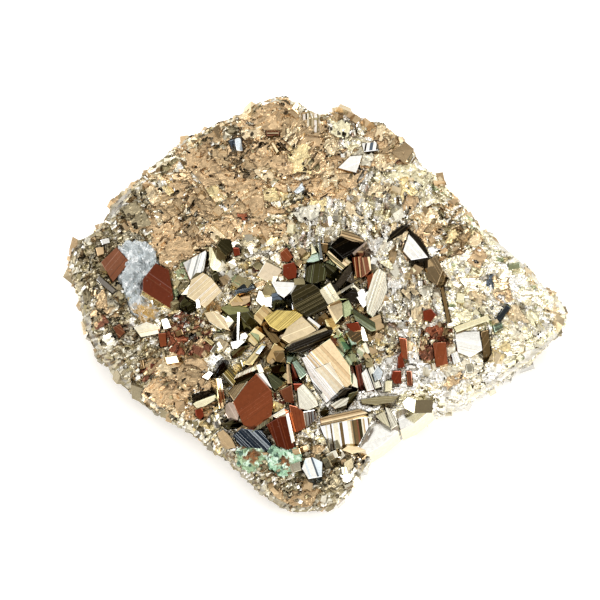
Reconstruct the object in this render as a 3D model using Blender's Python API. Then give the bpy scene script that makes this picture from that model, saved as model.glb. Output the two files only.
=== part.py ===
# Pyrite specimen: a hand-sized cluster of cube crystals on a massive, granular pyrite base,
# with quartz in a pocket on its left and two patches of malachite crust near its front tip.
# Lengths are in mm and become metres when a mesh is made. +X runs along the specimen,
# +Y to its back and +Z up. It rests on a flat foot at z = 0.

import math

import bmesh
import bpy
import numpy as np
from mathutils import Vector
from mathutils.bvhtree import BVHTree

MM = 0.001
SEED = 7
GOLDEN_ANGLE = math.radians(137.5)
GAP = 0.35                      # clearance round a mineral that fills a pocket

# The front is laid out as a viewer sees it: u across and v up, in mm, on the plane
# through AIM that is square to the line of sight.
AIM = np.array([0.0, 0.0, 20.0])
SIGHT_ELEVATION = math.radians(52.0)
SIGHT_DISTANCE = 500.0
RIGHT = np.array([1.0, 0.0, 0.0])
TOWARD = np.array([0.0, -math.cos(SIGHT_ELEVATION), math.sin(SIGHT_ELEVATION)])
UP = np.cross(TOWARD, RIGHT)
EYE = AIM + SIGHT_DISTANCE * TOWARD

# Stations round the specimen, clockwise from the left end as seen from above:
# the widest point of the wall, then the edge where the wall meets the top (x, y, z each).
STATIONS = [
    ((-46.0, 16.0, 11.0), (-43.5, 17.0, 15.0)),
    ((-43.0, 21.5, 10.0), (-40.5, 20.0, 18.0)),
    ((-38.5, 26.0, 12.0), (-35.5, 23.5, 22.0)),
    ((-31.0, 30.0, 14.0), (-29.0, 26.0, 28.5)),
    ((-22.0, 32.0, 17.0), (-21.0, 29.0, 35.0)),
    ((-12.5, 32.5, 19.0), (-12.0, 30.0, 39.5)),
    ((-4.0, 32.5, 20.0), (-5.5, 30.0, 42.0)),
    ((4.0, 31.5, 19.0), (3.0, 28.5, 39.5)),
    ((13.0, 31.0, 18.0), (12.5, 27.0, 38.0)),
    ((20.5, 26.5, 16.0), (18.0, 22.0, 34.0)),
    ((27.0, 21.0, 14.0), (23.5, 17.5, 29.0)),
    ((34.5, 17.0, 12.0), (30.5, 14.5, 22.5)),
    ((41.0, 12.5, 9.0), (37.0, 11.5, 17.0)),
    ((44.5, 8.5, 7.0), (43.0, 8.0, 12.5)),
    ((45.3, 5.0, 8.0), (44.0, 3.5, 11.0)),
    ((42.5, 1.5, 6.0), (40.5, -1.0, 12.0)),
    ((36.5, -3.0, 5.0), (35.0, -4.5, 11.0)),
    ((29.0, -9.0, 4.5), (27.0, -9.5, 11.5)),
    ((19.5, -15.0, 4.5), (18.0, -14.0, 11.5)),
    ((12.0, -20.0, 4.5), (10.5, -19.5, 11.0)),
    ((7.0, -27.0, 4.5), (5.5, -26.5, 9.0)),
    ((3.0, -32.5, 4.5), (1.5, -31.5, 8.0)),
    ((-4.0, -34.0, 4.0), (-3.5, -33.0, 7.5)),
    ((-9.5, -30.5, 4.0), (-9.0, -29.5, 8.0)),
    ((-16.0, -23.5, 4.0), (-15.0, -22.5, 9.0)),
    ((-24.0, -16.0, 4.0), (-22.5, -15.5, 8.0)),
    ((-32.5, -10.0, 4.5), (-30.5, -10.0, 8.5)),
    ((-39.0, -2.5, 5.0), (-37.0, -3.0, 9.5)),
    ((-43.0, 5.0, 6.0), (-41.0, 4.5, 10.5)),
    ((-45.0, 11.0, 8.0), (-43.0, 11.0, 12.5)),
]
SAMPLES = 76                    # columns of the mass, read along the stations
FOOT_INSET = 0.84               # foot ring against the widest ring
TOP_RINGS = (0.10, 0.22, 0.36, 0.50, 0.64, 0.78, 0.90)
CENTRE = np.array([-1.0, -2.0, 22.0])
HOLLOW_CENTRE = (-3.0, -5.0)    # the crystal pocket is a shallow hollow in the top
HOLLOW_REACH = (16.0, 12.0)
HOLLOW_DEPTH = 2.2
WALL_RINGS = 4                  # rings between the foot and the top, with the edge

# The surface breaks into ledges: each point takes the step of the ledge that it is nearest to.
LEDGES = 260
LEDGE_STEP = {"top": 1.0, "front": 0.25, "back": 1.3}

# Crystals on the front: u, v of the face, its two sides, its depth, the turn of its first
# side, the direction and the angle by which it leans, and how far it stands out.
CRYSTALS = {
    "brown cube on the left": (-37.0, 7.5, 4.4, 5.0, 5.0, -38, 150, 10, 1.7),
    "brown cube beside the quartz": (-28.0, 3.5, 6.4, 5.6, 6.0, -31, 59, 9, 1.6),
    "white face": (-22.0, 7.2, 4.8, 3.6, 5.0, 27, 185, 24, 1.3),
    "cream wedge": (-18.5, 8.3, 4.2, 2.2, 4.5, 92, 20, 25, 1.4),
    "gold striated cube": (-20.5, 2.5, 5.0, 5.2, 6.0, -41, 137, 20, 2.4),
    "tan slab": (-18.2, -3.0, 4.5, 2.8, 4.5, -52, 215, 14, 1.0),
    "big tan cube": (-4.0, -3.2, 8.6, 7.0, 8.0, 21, 100, 14, 2.8),
    "dark striated cube": (-1.4, 1.1, 5.8, 5.0, 6.5, 27, -50, 20, 2.6),
    "white triangle": (-6.3, 2.9, 4.6, 3.2, 5.0, 3, 30, 33, 2.0),
    "blue black block": (-6.7, 0.4, 4.0, 3.0, 5.0, 5, -80, 28, 1.2),
    "beige block": (1.4, 2.2, 2.6, 2.8, 6.0, 30, 200, 26, 3.0),
    "peach block": (2.9, -1.1, 2.8, 4.0, 6.0, 28, 120, 16, 2.6),
    "black crystal": (5.0, 10.5, 5.0, 4.0, 6.5, -24, 40, 27, 2.4),
    "brown banded block": (5.8, 12.3, 4.4, 2.0, 4.5, -14, 70, 12, 1.7),
    "black wall": (5.0, 4.3, 4.4, 6.8, 5.0, -62, -20, 30, 1.2),
    "copper pillar": (7.4, 6.8, 2.2, 4.0, 5.0, -3, 240, 10, 1.7),
    "largest cube": (1.6, -11.5, 6.4, 8.7, 8.5, 33, 207, 14, 3.2),
    "copper cube": (-11.2, -17.5, 6.5, 6.8, 7.5, 52, 235, 8, 2.6),
    "dark step above the copper cube": (-13.0, -13.2, 4.4, 2.4, 5.0, 35, 120, 30, 1.8),
    "low copper pillar": (-7.0, -23.1, 4.4, 5.8, 5.5, 12, 250, 8, 1.8),
    "tall copper pillar": (-4.3, -18.6, 2.4, 9.0, 5.5, 7, 230, 7, 2.4),
    "speckled block": (-2.0, -16.8, 3.2, 4.6, 5.0, -30, 20, 28, 2.2),
    "striped cube": (4.7, -23.1, 8.1, 5.0, 6.5, 8, -98, 24, 2.2),
    "white and blue face": (-1.4, -29.2, 3.2, 4.4, 4.5, -12, -10, 28, 1.2),
    "striated prism": (-12.3, -23.8, 7.6, 3.0, 4.5, -36, -120, 16, 1.4),
    "small gold cube": (16.4, -18.0, 2.6, 2.6, 4.6, -14, 190, 34, 2.6),
    "white square": (26.7, -7.0, 4.5, 4.5, 5.0, 3, -90, 20, 1.7),
    "white pyramid": (16.6, 10.3, 4.4, 3.2, 5.0, -48, 10, 30, 0.9),
    "brown and gold face": (20.4, 5.9, 3.2, 4.6, 4.5, -35, 140, 24, 1.1),
    "red knob": (20.0, -2.3, 2.6, 2.6, 4.5, 20, 230, 8, 1.7),
    "copper plate": (22.2, -9.4, 3.2, 4.9, 4.5, 5, 180, 8, 1.1),
    "grey slab": (12.4, -4.3, 5.0, 2.4, 4.5, -27, 80, 22, 1.2),
    "teal slab": (8.1, -2.9, 4.7, 2.3, 4.5, -27, 60, 40, 1.5),
    "pale small cube": (9.0, -8.6, 2.3, 2.4, 4.5, -14, 250, 24, 2.4),
    "olive striped block": (-16.0, -12.4, 3.0, 3.6, 4.5, 55, 150, 30, 1.5),
    "cream bar": (-31.0, -4.9, 5.0, 2.3, 4.5, 12, -80, 30, 1.8),
    "upright cream bar": (-17.8, -15.9, 1.6, 5.4, 4.5, 10, 0, 32, 2.0),
    "white plate at the top": (5.4, 25.6, 4.0, 2.8, 4.5, 20, 20, 31, 1.2),
}

# Low steps of the massive pyrite, all cleaved the same way: u, v, length, width and turn.
STEPS = [
    (-17.5, 26.5, 8.5, 3.6, 5), (-10.1, 23.8, 6.0, 3.4, 22), (-2.7, 26.1, 6.2, 5.8, -12),
    (4.3, 22.6, 9.0, 2.6, -6), (10.3, 26.1, 7.2, 3.0, 10), (-15.0, 16.9, 6.5, 5.4, 8),
    (-0.2, 17.7, 3.4, 3.2, 0), (16.4, 20.4, 4.8, 5.4, 20), (19.6, 13.2, 6.5, 3.0, -20),
    (-12.3, 29.6, 4.2, 3.6, 10), (-3.2, 33.0, 3.8, 2.6, -10), (11.9, 30.8, 4.2, 2.8, -20),
    (-21.5, 19.6, 5.4, 3.0, 8), (-24.5, -12.6, 5.4, 4.4, -30), (-27.2, 20.7, 3.2, 3.0, 40),
    (-33.0, 15.0, 5.0, 4.0, 35), (29.0, 8.0, 4.0, 3.4, -30), (36.0, -2.0, 5.5, 4.0, 15),
    (-25.5, 13.5, 4.5, 3.2, 20), (24.5, -14.0, 5.0, 3.4, 20), (33.0, -8.5, 5.2, 3.2, 18),
]
STEP_LEAN = 100.0
STEP_TILT = 16.0
STEP_RISE = 0.9
STEP_DEPTH = 4.0

# Smaller crystals crowd round the named ones and over the top. Each family has the middle
# (u, v) and reach of its area, a count, the range of its sides, and how it is turned,
# leans, tilts and stands out; every crystal strays a little from its family's setting.
FAMILIES = [
    ((-12.0, -2.0), (11.0, 9.0), 14, (2.4, 4.4), (-40, 215, 15, 1.0)),
    ((10.0, 0.0), (9.0, 8.0), 14, (2.4, 4.2), (28, 60, 26, 1.0)),
    ((-12.0, 20.0), (15.0, 9.0), 9, (2.6, 5.0), (8, 100, 16, 0.8)),
    ((-28.0, 17.0), (6.0, 6.0), 6, (2.8, 4.6), (30, 100, 16, 0.8)),
    ((-1.0, 29.0), (11.0, 5.0), 6, (2.8, 5.0), (-8, 100, 16, 0.8)),
    ((14.0, 18.0), (10.0, 9.0), 8, (2.6, 4.6), (-15, 100, 18, 0.8)),
    ((-38.0, -1.5), (2.6, 7.0), 5, (2.2, 3.4), (20, 230, 18, 0.8)),
    ((30.0, -2.0), (8.0, 7.0), 8, (2.6, 4.4), (5, -60, 24, 0.9)),
]
STRAY = {"turn": 12.0, "lean": 40.0, "tilt": 6.0, "rise": 0.3}

# Rough blocks that stand out of the back wall: count, and the range of their sides.
BACK_BLOCKS = 26
BACK_SIDE = (5.0, 10.0)
BACK_ARC = (1.5, 12)            # the stations between which they stand
BACK_SHARE = (-0.3, 0.75)       # how far up they stand, from the widest ring to the edge
BACK_RISE = (-1.4, 0.1)
TALL_WALL = 18.0                # where the back wall is lower than this, they keep lower too

# Minerals in pockets: outline as u, v round the patch, then dome height and sunk depth.
QUARTZ = ([(-36.2, 9.6), (-33.0, 11.6), (-29.6, 9.6), (-29.4, 5.6), (-31.2, 2.0),
           (-29.0, -1.2), (-31.0, -3.0), (-33.8, -1.4), (-34.8, 2.2), (-36.6, 5.4)], 1.4, 2.6)
MALACHITE_LEFT = ([(-14.4, -26.6), (-12.6, -24.9), (-10.4, -26.2), (-10.6, -28.4),
                   (-12.6, -29.6), (-14.2, -28.4)], 0.6, 1.0)
MALACHITE_RIGHT = ([(-8.6, -26.0), (-6.0, -26.4), (-3.9, -26.4), (-4.2, -29.0),
                    (-6.4, -30.4), (-8.4, -29.2)], 0.6, 1.0)

LUMP_RINGS = ((1.0, 0.0), (0.86, 0.5), (0.6, 0.85), (0.3, 1.0))    # share, lift

COLOURS = {
    "pyrite": ((0.50, 0.36, 0.19, 1.0), 0.32, 1.0),
    "quartz": ((0.52, 0.55, 0.54, 1.0), 0.25, 0.0),
    "malachite": ((0.22, 0.45, 0.30, 1.0), 0.7, 0.0),
}


def clear_scene():
    for thing in list(bpy.data.objects):
        bpy.data.objects.remove(thing, do_unlink=True)


def material(name):
    # one Principled BSDF per mineral
    made = bpy.data.materials.new(name)
    made.use_nodes = True
    shader = made.node_tree.nodes["Principled BSDF"]
    colour, roughness, metallic = COLOURS[name]
    shader.inputs["Base Color"].default_value = colour
    shader.inputs["Roughness"].default_value = roughness
    shader.inputs["Metallic"].default_value = metallic
    made.diffuse_color = colour
    return made


def mesh_object(name, points, faces):
    # a mesh object from points in mm, with its faces turned outward
    mesh = bpy.data.meshes.new(name)
    mesh.from_pydata([tuple(point * MM) for point in points], [], faces)
    work = bmesh.new()
    work.from_mesh(mesh)
    bmesh.ops.recalc_face_normals(work, faces=work.faces)
    work.to_mesh(mesh)
    work.free()
    made = bpy.data.objects.new(name, mesh)
    bpy.context.scene.collection.objects.link(made)
    return made


def closed_curve(points, samples):
    # Catmull-Rom curve through the closed list of points, read at even steps
    points = np.asarray(points, float)
    place = np.arange(samples) * len(points) / samples
    start = place.astype(int)
    t = (place - start)[:, None]
    p0, p1, p2, p3 = (points[(start + shift) % len(points)] for shift in (-1, 0, 1, 2))
    return 0.5 * (2 * p1 + (p2 - p0) * t + (2 * p0 - 5 * p1 + 4 * p2 - p3) * t ** 2
                  + (3 * p1 - p0 - 3 * p2 + p3) * t ** 3)


def mass_rings():
    # rings of the mass from its foot, over the wall and the edge, to near its centre
    wall = closed_curve([station[0] for station in STATIONS], SAMPLES)
    edge = closed_curve([station[1] for station in STATIONS], SAMPLES)
    middle = CENTRE * (1, 1, 0)
    foot = (wall * (1, 1, 0) - middle) * FOOT_INSET + middle
    low = (wall * (1, 1, 0) - middle) * (0.5 + 0.5 * FOOT_INSET) + middle
    low[:, 2] = wall[:, 2] * 0.35
    rings = [foot, low, wall, 0.5 * (wall + edge) + (edge - CENTRE) * (0.02, 0.02, 0.0), edge]
    for share in TOP_RINGS:
        ring = edge + (CENTRE - edge) * share
        dx = (ring[:, 0] - HOLLOW_CENTRE[0]) / HOLLOW_REACH[0]
        dy = (ring[:, 1] - HOLLOW_CENTRE[1]) / HOLLOW_REACH[1]
        ring[:, 2] -= HOLLOW_DEPTH * np.exp(-dx ** 2 - dy ** 2)
        rings.append(ring)
    return rings


def roughen(rings, random):
    # each ring is moved by the step of the nearest ledge: the wall outward, the top upward
    everything = np.concatenate(rings[1:])
    ledges = everything[random.choice(len(everything), LEDGES, replace=False)]
    steps = random.uniform(-1.0, 1.0, LEDGES)
    for count, ring in enumerate(rings[1:], 1):
        nearest = np.argmin(np.linalg.norm(ring[:, None] - ledges[None], axis=2), axis=1)
        step = steps[nearest][:, None]
        if count <= WALL_RINGS:
            back = np.clip((ring[:, 1:2] - 5.0) / 20.0, 0.0, 1.0)
            outward = (ring - CENTRE) * (1, 1, 0)
            outward /= np.linalg.norm(outward, axis=1)[:, None]
            size = LEDGE_STEP["front"] + (LEDGE_STEP["back"] - LEDGE_STEP["front"]) * back
            ring += outward * step * size
        else:
            share = TOP_RINGS[count - WALL_RINGS - 1]
            ring[:, 2:] += step * LEDGE_STEP["top"] * (1.0 - share) ** 0.5


def make_mass(random):
    # the closed mass: rings joined by triangles, a flat foot below and a fan at the centre
    rings = mass_rings()
    roughen(rings, random)
    points = np.concatenate(rings + [CENTRE[None] - (0.0, 0.0, HOLLOW_DEPTH)])
    top = len(points) - 1
    faces = [tuple(range(SAMPLES))]
    for row in range(len(rings) - 1):
        for column in range(SAMPLES):
            a = row * SAMPLES + column
            b = row * SAMPLES + (column + 1) % SAMPLES
            faces += [(a, b, b + SAMPLES), (a, b + SAMPLES, a + SAMPLES)]
    last = (len(rings) - 1) * SAMPLES
    faces += [(last + k, last + (k + 1) % SAMPLES, top) for k in range(SAMPLES)]
    return mesh_object("pyrite", points, faces)


def surface_of(thing):
    # a search tree over the object's surface, in metres
    points = [vertex.co for vertex in thing.data.vertices]
    return BVHTree.FromPolygons(points, [tuple(face.vertices) for face in thing.data.polygons])


def seat(surface, u, v):
    # the point where the line of sight through u, v meets the surface, in mm
    through = AIM + RIGHT * u + UP * v
    ray = through - EYE
    hit = surface.ray_cast(Vector(EYE * MM), Vector(ray))[0]
    if hit is None:
        raise ValueError(f"nothing lies at {u}, {v}")
    return np.array(hit) / MM


def leaning_axes(turn, lean, tilt):
    # the face looks at the viewer, tilted by tilt towards lean; its first side is at turn
    lean, tilt, turn = (math.radians(angle) for angle in (lean, tilt, turn))
    aside = RIGHT * math.cos(lean) + UP * math.sin(lean)
    normal = TOWARD * math.cos(tilt) + aside * math.sin(tilt)
    first = RIGHT * math.cos(turn) + UP * math.sin(turn)
    first = first - normal * (first @ normal)
    first /= np.linalg.norm(first)
    return first, np.cross(normal, first), normal


def block(name, face_centre, axes, sides):
    # a box whose outer face is centred on face_centre; it runs inward by its depth
    first, second, normal = axes
    points = []
    for z in (-sides[2], 0.0):
        for x, y in ((-0.5, -0.5), (0.5, -0.5), (0.5, 0.5), (-0.5, 0.5)):
            points.append(face_centre + first * x * sides[0] + second * y * sides[1] + normal * z)
    faces = [(0, 3, 2, 1), (4, 5, 6, 7), (0, 1, 5, 4), (1, 2, 6, 5), (2, 3, 7, 6), (3, 0, 4, 7)]
    return mesh_object(name, points, faces)


def front_blocks(surface):
    # the named crystals and the low steps, each seated on the mass
    blocks = []
    for name, (u, v, side_a, side_b, depth, turn, lean, tilt, rise) in CRYSTALS.items():
        axes = leaning_axes(turn, lean, tilt)
        blocks.append(block(name, seat(surface, u, v) + TOWARD * rise, axes,
                            (side_a, side_b, depth)))
    for count, (u, v, side_a, side_b, turn) in enumerate(STEPS):
        axes = leaning_axes(turn, STEP_LEAN, STEP_TILT)
        blocks.append(block(f"step {count}", seat(surface, u, v) + TOWARD * STEP_RISE, axes,
                            (side_a, side_b, STEP_DEPTH)))
    return blocks


def family_blocks(surface, random):
    # small crystals strewn evenly over each family's oval
    blocks = []
    for middle, reach, amount, sides, (turn, lean, tilt, rise) in FAMILIES:
        for count in range(amount):
            far = math.sqrt((count + 0.5) / amount)
            angle = count * GOLDEN_ANGLE
            u = middle[0] + reach[0] * far * math.cos(angle)
            v = middle[1] + reach[1] * far * math.sin(angle)
            stray = random.uniform(-1.0, 1.0, 4)
            axes = leaning_axes(turn + stray[0] * STRAY["turn"], lean + stray[1] * STRAY["lean"],
                                tilt + stray[2] * STRAY["tilt"])
            face = seat(surface, u, v) + TOWARD * (rise + stray[3] * STRAY["rise"])
            side = random.uniform(*sides, 2)
            blocks.append(block("small crystal", face, axes, (side[0], side[1], STEP_DEPTH)))
    return blocks


def back_blocks(random):
    # rough blocks half sunk in the back wall, between its widest ring and its edge
    wall = closed_curve([station[0] for station in STATIONS], SAMPLES)
    edge = closed_curve([station[1] for station in STATIONS], SAMPLES)
    first, last = (round(place * SAMPLES / len(STATIONS)) for place in BACK_ARC)
    blocks = []
    for count in range(BACK_BLOCKS):
        column = first + round((last - first) * (count + 0.5) / BACK_BLOCKS)
        rise = edge[column] - wall[column]
        centre = wall[column] + rise * random.uniform(*BACK_SHARE) * min(1, rise[2] / TALL_WALL)
        outward = (wall[column] - CENTRE) * (1, 1, 0)
        outward /= np.linalg.norm(outward)
        outward = outward + random.uniform(-0.3, 0.3, 3)
        outward /= np.linalg.norm(outward)
        first_side = np.cross((0, 0, 1), outward) + random.uniform(-0.4, 0.4, 3)
        first_side -= outward * (first_side @ outward)
        first_side /= np.linalg.norm(first_side)
        sides = random.uniform(*BACK_SIDE, 2)
        face = centre + outward * random.uniform(*BACK_RISE)
        blocks.append(block(f"back block {count}", face,
                            (first_side, np.cross(outward, first_side), outward),
                            (sides[0], sides[1], BACK_SIDE[0])))
    return blocks


def lump(name, surface, patch):
    # a closed lump on the patch's outline: a low dome above the surface and a bowl below it
    outline, dome, sunk = patch
    middle = np.mean(outline, axis=0)
    edge = closed_curve(outline, 2 * len(outline))
    size = len(edge)
    grounds = [[seat(surface, *(middle + (spot - middle) * share)) for spot in edge]
               for share, _ in LUMP_RINGS]
    summit = seat(surface, *middle)
    points = list(grounds[0])
    faces = []
    for height, inner_rings in ((dome, grounds[1:]), (-sunk, grounds[1:])):
        outer = 0
        for (_, lift), ring in zip(LUMP_RINGS[1:], inner_rings):
            inner = len(points)
            points += [spot + TOWARD * height * lift for spot in ring]
            for k in range(size):
                m = (k + 1) % size
                faces += [(outer + k, outer + m, inner + m), (outer + k, inner + m, inner + k)]
            outer = inner
        points.append(summit + TOWARD * height)
        faces += [(outer + k, outer + (k + 1) % size, len(points) - 1) for k in range(size)]
    return mesh_object(name, points, faces)


def pocket_for(thing):
    # a copy of the lump, swollen along its normals by the clearance
    cutter = bpy.data.objects.new(thing.name + " pocket", thing.data.copy())
    bpy.context.scene.collection.objects.link(cutter)
    mesh = cutter.data
    normals = [vertex.normal.copy() for vertex in mesh.vertices]
    for vertex, normal in zip(mesh.vertices, normals):
        vertex.co += normal * GAP * MM
    return cutter


def boolean(target, operation, others):
    # the target is joined with, or cut by, the others, which are then removed
    group = bpy.data.collections.new("operands")
    for other in others:
        bpy.context.scene.collection.objects.unlink(other)
        group.objects.link(other)
    modifier = target.modifiers.new(operation.lower(), "BOOLEAN")
    modifier.operation = operation
    modifier.solver = "EXACT"
    modifier.operand_type = "COLLECTION"
    modifier.collection = group
    depsgraph = bpy.context.evaluated_depsgraph_get()
    joined = bpy.data.meshes.new_from_object(target.evaluated_get(depsgraph))
    target.modifiers.clear()
    target.data = joined
    for other in others:
        bpy.data.objects.remove(other, do_unlink=True)
    bpy.data.collections.remove(group)


def build():
    clear_scene()
    random = np.random.default_rng(SEED)
    pyrite = make_mass(random)
    surface = surface_of(pyrite)
    boolean(pyrite, "UNION", front_blocks(surface) + family_blocks(surface, random)
            + back_blocks(random))
    quartz = lump("quartz", surface, QUARTZ)
    greens = [lump("malachite_left", surface, MALACHITE_LEFT),
              lump("malachite_right", surface, MALACHITE_RIGHT)]
    boolean(pyrite, "DIFFERENCE", [pocket_for(mineral) for mineral in [quartz] + greens])
    for mineral, name in ((pyrite, "pyrite"), (quartz, "quartz")):
        mineral.data.materials.clear()
        mineral.data.materials.append(material(name))
    green = material("malachite")
    for mineral in greens:
        mineral.data.materials.append(green)


build()
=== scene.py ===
# A pyrite specimen: granular brassy mass, bright cube crystals, milky quartz and green crust.
# Sizes are in millimetres until a mesh is made. +X runs along the stone, +Y to its back, +Z up.
import math

import bpy
import numpy as np
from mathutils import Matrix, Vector
from mathutils.bvhtree import BVHTree


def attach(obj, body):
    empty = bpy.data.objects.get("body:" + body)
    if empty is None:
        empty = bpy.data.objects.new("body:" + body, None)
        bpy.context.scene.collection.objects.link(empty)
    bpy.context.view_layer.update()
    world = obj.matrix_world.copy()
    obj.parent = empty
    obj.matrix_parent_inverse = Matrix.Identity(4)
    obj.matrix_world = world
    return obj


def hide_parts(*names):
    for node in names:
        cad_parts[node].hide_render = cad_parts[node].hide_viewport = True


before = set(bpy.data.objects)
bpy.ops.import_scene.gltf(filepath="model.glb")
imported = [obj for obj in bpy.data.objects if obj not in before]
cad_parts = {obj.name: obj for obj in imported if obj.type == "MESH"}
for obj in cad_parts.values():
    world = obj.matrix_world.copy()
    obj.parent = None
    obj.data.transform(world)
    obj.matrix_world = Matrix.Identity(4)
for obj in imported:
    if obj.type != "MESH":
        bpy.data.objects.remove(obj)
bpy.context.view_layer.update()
mm = 0.001
random = np.random.default_rng(7)  # the same ledges as the solid's
print("frame loaded")

sight = {  # the front is laid out as seen from a point above it: u across, v up, in mm at aim
    "aim": (0.0, 0.0, 20.0),
    "elevation": 52.0,  # degrees above the horizon
    "distance": 500.0,
}
aim = np.array(sight["aim"])
lift = math.radians(sight["elevation"])
right = np.array([1.0, 0.0, 0.0])
toward = np.array([0.0, -math.cos(lift), math.sin(lift)])
up = np.cross(toward, right)
eye = aim + sight["distance"] * toward


def frontPlace(points):
    # u and v of each point: its offset from aim, scaled by distance over its own depth
    offset = points - aim
    scale = sight["distance"] / (sight["distance"] - offset @ toward)
    return np.stack([offset @ right * scale, offset @ up * scale], axis=-1)


def frontPoint(u, v, depth):
    # the point on the line of sight through u, v that lies depth nearer than the plane at aim
    across = aim + np.multiply.outer(u, right) + np.multiply.outer(v, up) - eye
    return eye + across * (1.0 - depth / sight["distance"])[..., None]


mostTint = 0.97  # the palest a face may be
plainPolish = 0.2  # the roughness of faces that are given none


def makeMesh(name, points, faces, tint=None, polish=None):
    # puts arrays of points (mm) and faces (all with as many corners) into a flat-shaded mesh
    mesh = bpy.data.meshes.new(name)
    corners = faces.shape[1]
    mesh.vertices.add(len(points))
    mesh.vertices.foreach_set("co", (points * mm).astype(np.float32).ravel())
    mesh.loops.add(faces.size)
    mesh.loops.foreach_set("vertex_index", faces.astype(np.int32).ravel())
    mesh.polygons.add(len(faces))
    mesh.polygons.foreach_set("loop_start", np.arange(0, faces.size, corners, dtype=np.int32))
    mesh.polygons.foreach_set("use_smooth", np.zeros(len(faces), bool))
    mesh.update(calc_edges=True)
    mesh.validate()
    if tint is not None:  # one colour for each face, held at its corners
        layer = mesh.color_attributes.new("tint", "FLOAT_COLOR", "CORNER")
        rgba = np.ones((len(faces), corners, 4), np.float32)
        rgba[:, :, :3] = np.clip(tint, 0.0, mostTint)[:, None, :]
        layer.data.foreach_set("color", rgba.ravel())
        shine = np.full(len(faces), plainPolish) if polish is None else polish
        layer = mesh.attributes.new("polish", "FLOAT", "FACE")  # the roughness of each face
        layer.data.foreach_set("value", shine.astype(np.float32))
    made = bpy.data.objects.new(name, mesh)
    bpy.context.scene.collection.objects.link(made)
    return made


def linear(code):
    # sRGB hex to linear red, green and blue
    values = np.array([int(code[k:k + 2], 16) for k in (0, 2, 4)]) / 255.0
    return np.where(values <= 0.04045, values / 12.92, ((values + 0.055) / 1.055) ** 2.4)


mass = {
    # round the stone from its left end, by way of the back: widest point, then the top's edge
    "stations": [
        ((-46.0, 16.0, 11.0), (-43.5, 17.0, 15.0)),
        ((-43.0, 21.5, 10.0), (-40.5, 20.0, 18.0)),
        ((-38.5, 26.0, 12.0), (-35.5, 23.5, 22.0)),
        ((-31.0, 30.0, 14.0), (-29.0, 26.0, 28.5)),
        ((-22.0, 32.0, 17.0), (-21.0, 29.0, 35.0)),
        ((-12.5, 32.5, 19.0), (-12.0, 30.0, 39.5)),
        ((-4.0, 32.5, 20.0), (-5.5, 30.0, 42.0)),
        ((4.0, 31.5, 19.0), (3.0, 28.5, 39.5)),
        ((13.0, 31.0, 18.0), (12.5, 27.0, 38.0)),
        ((20.5, 26.5, 16.0), (18.0, 22.0, 34.0)),
        ((27.0, 21.0, 14.0), (23.5, 17.5, 29.0)),
        ((34.5, 17.0, 12.0), (30.5, 14.5, 22.5)),
        ((41.0, 12.5, 9.0), (37.0, 11.5, 17.0)),
        ((44.5, 8.5, 7.0), (43.0, 8.0, 12.5)),
        ((45.3, 5.0, 8.0), (44.0, 3.5, 11.0)),
        ((42.5, 1.5, 6.0), (40.5, -1.0, 12.0)),
        ((36.5, -3.0, 5.0), (35.0, -4.5, 11.0)),
        ((29.0, -9.0, 4.5), (27.0, -9.5, 11.5)),
        ((19.5, -15.0, 4.5), (18.0, -14.0, 11.5)),
        ((12.0, -20.0, 4.5), (10.5, -19.5, 11.0)),
        ((7.0, -27.0, 4.5), (5.5, -26.5, 9.0)),
        ((3.0, -32.5, 4.5), (1.5, -31.5, 8.0)),
        ((-4.0, -34.0, 4.0), (-3.5, -33.0, 7.5)),
        ((-9.5, -30.5, 4.0), (-9.0, -29.5, 8.0)),
        ((-16.0, -23.5, 4.0), (-15.0, -22.5, 9.0)),
        ((-24.0, -16.0, 4.0), (-22.5, -15.5, 8.0)),
        ((-32.5, -10.0, 4.5), (-30.5, -10.0, 8.5)),
        ((-39.0, -2.5, 5.0), (-37.0, -3.0, 9.5)),
        ((-43.0, 5.0, 6.0), (-41.0, 4.5, 10.5)),
        ((-45.0, 11.0, 8.0), (-43.0, 11.0, 12.5)),
    ],
    "columns": 76,
    "footInset": 0.84,
    "topRings": (0.10, 0.22, 0.36, 0.50, 0.64, 0.78, 0.90),
    "centre": (-1.0, -2.0, 22.0),
    "hollow": ((-3.0, -5.0), (16.0, 12.0), 2.2),  # middle, reach and depth of the pocket
    "wallRings": 4,
    "lowRing": 0.35,  # height of the ring above the foot, as a share of the widest ring's
    "bulge": 0.02,  # how far the wall swells between its widest ring and the edge
    "backRamp": (5.0, 20.0),  # from where, and over what length, ledges grow to the back's
    "ledges": 260,
    "ledgeStep": {"top": 1.0, "front": 0.25, "back": 1.3},
    "fineColumns": 532,  # the visible surface's own grid
    "fineRows": 172,
    "fineCells": ((3.4, 0.40), (1.6, 0.26), (0.8, 0.15)),  # size of the broken blocks, depth
    "drawnIn": 1.6,  # how far it lies under the front's ground
    "facing": (0.02, 0.35),  # where faces count as the front's, and over what span
    "leastRough": 0.35,  # how rough the overhanging walls are, as a share of the top
    "roughSpan": 0.6, "roughBack": 15.0,  # the span of that ramp, and the y where it ends
    "smoothFoot": 1.5,  # height in mm over which the broken blocks fade to the flat foot
    "lowest": 0.02,  # height in mm that no broken face goes below
    "behind": (0.15, 0.8),  # faces turned this far away and this high carry the back's grains
    "shades": (0.75, 0.45, 0.2),  # darkest grain, range of the grains' and lift of the facets
}
massCentre = np.array(mass["centre"])


def closedCurve(points, samples):
    # Catmull-Rom curve through a closed list of points, read at even steps
    points = np.asarray(points, float)
    place = np.arange(samples) * len(points) / samples
    start = place.astype(int)
    t = (place - start)[:, None]
    p0, p1, p2, p3 = (points[(start + shift) % len(points)] for shift in (-1, 0, 1, 2))
    return 0.5 * (2 * p1 + (p2 - p0) * t + (2 * p0 - 5 * p1 + 4 * p2 - p3) * t ** 2
                  + (3 * p1 - p0 - 3 * p2 + p3) * t ** 3)


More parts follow.
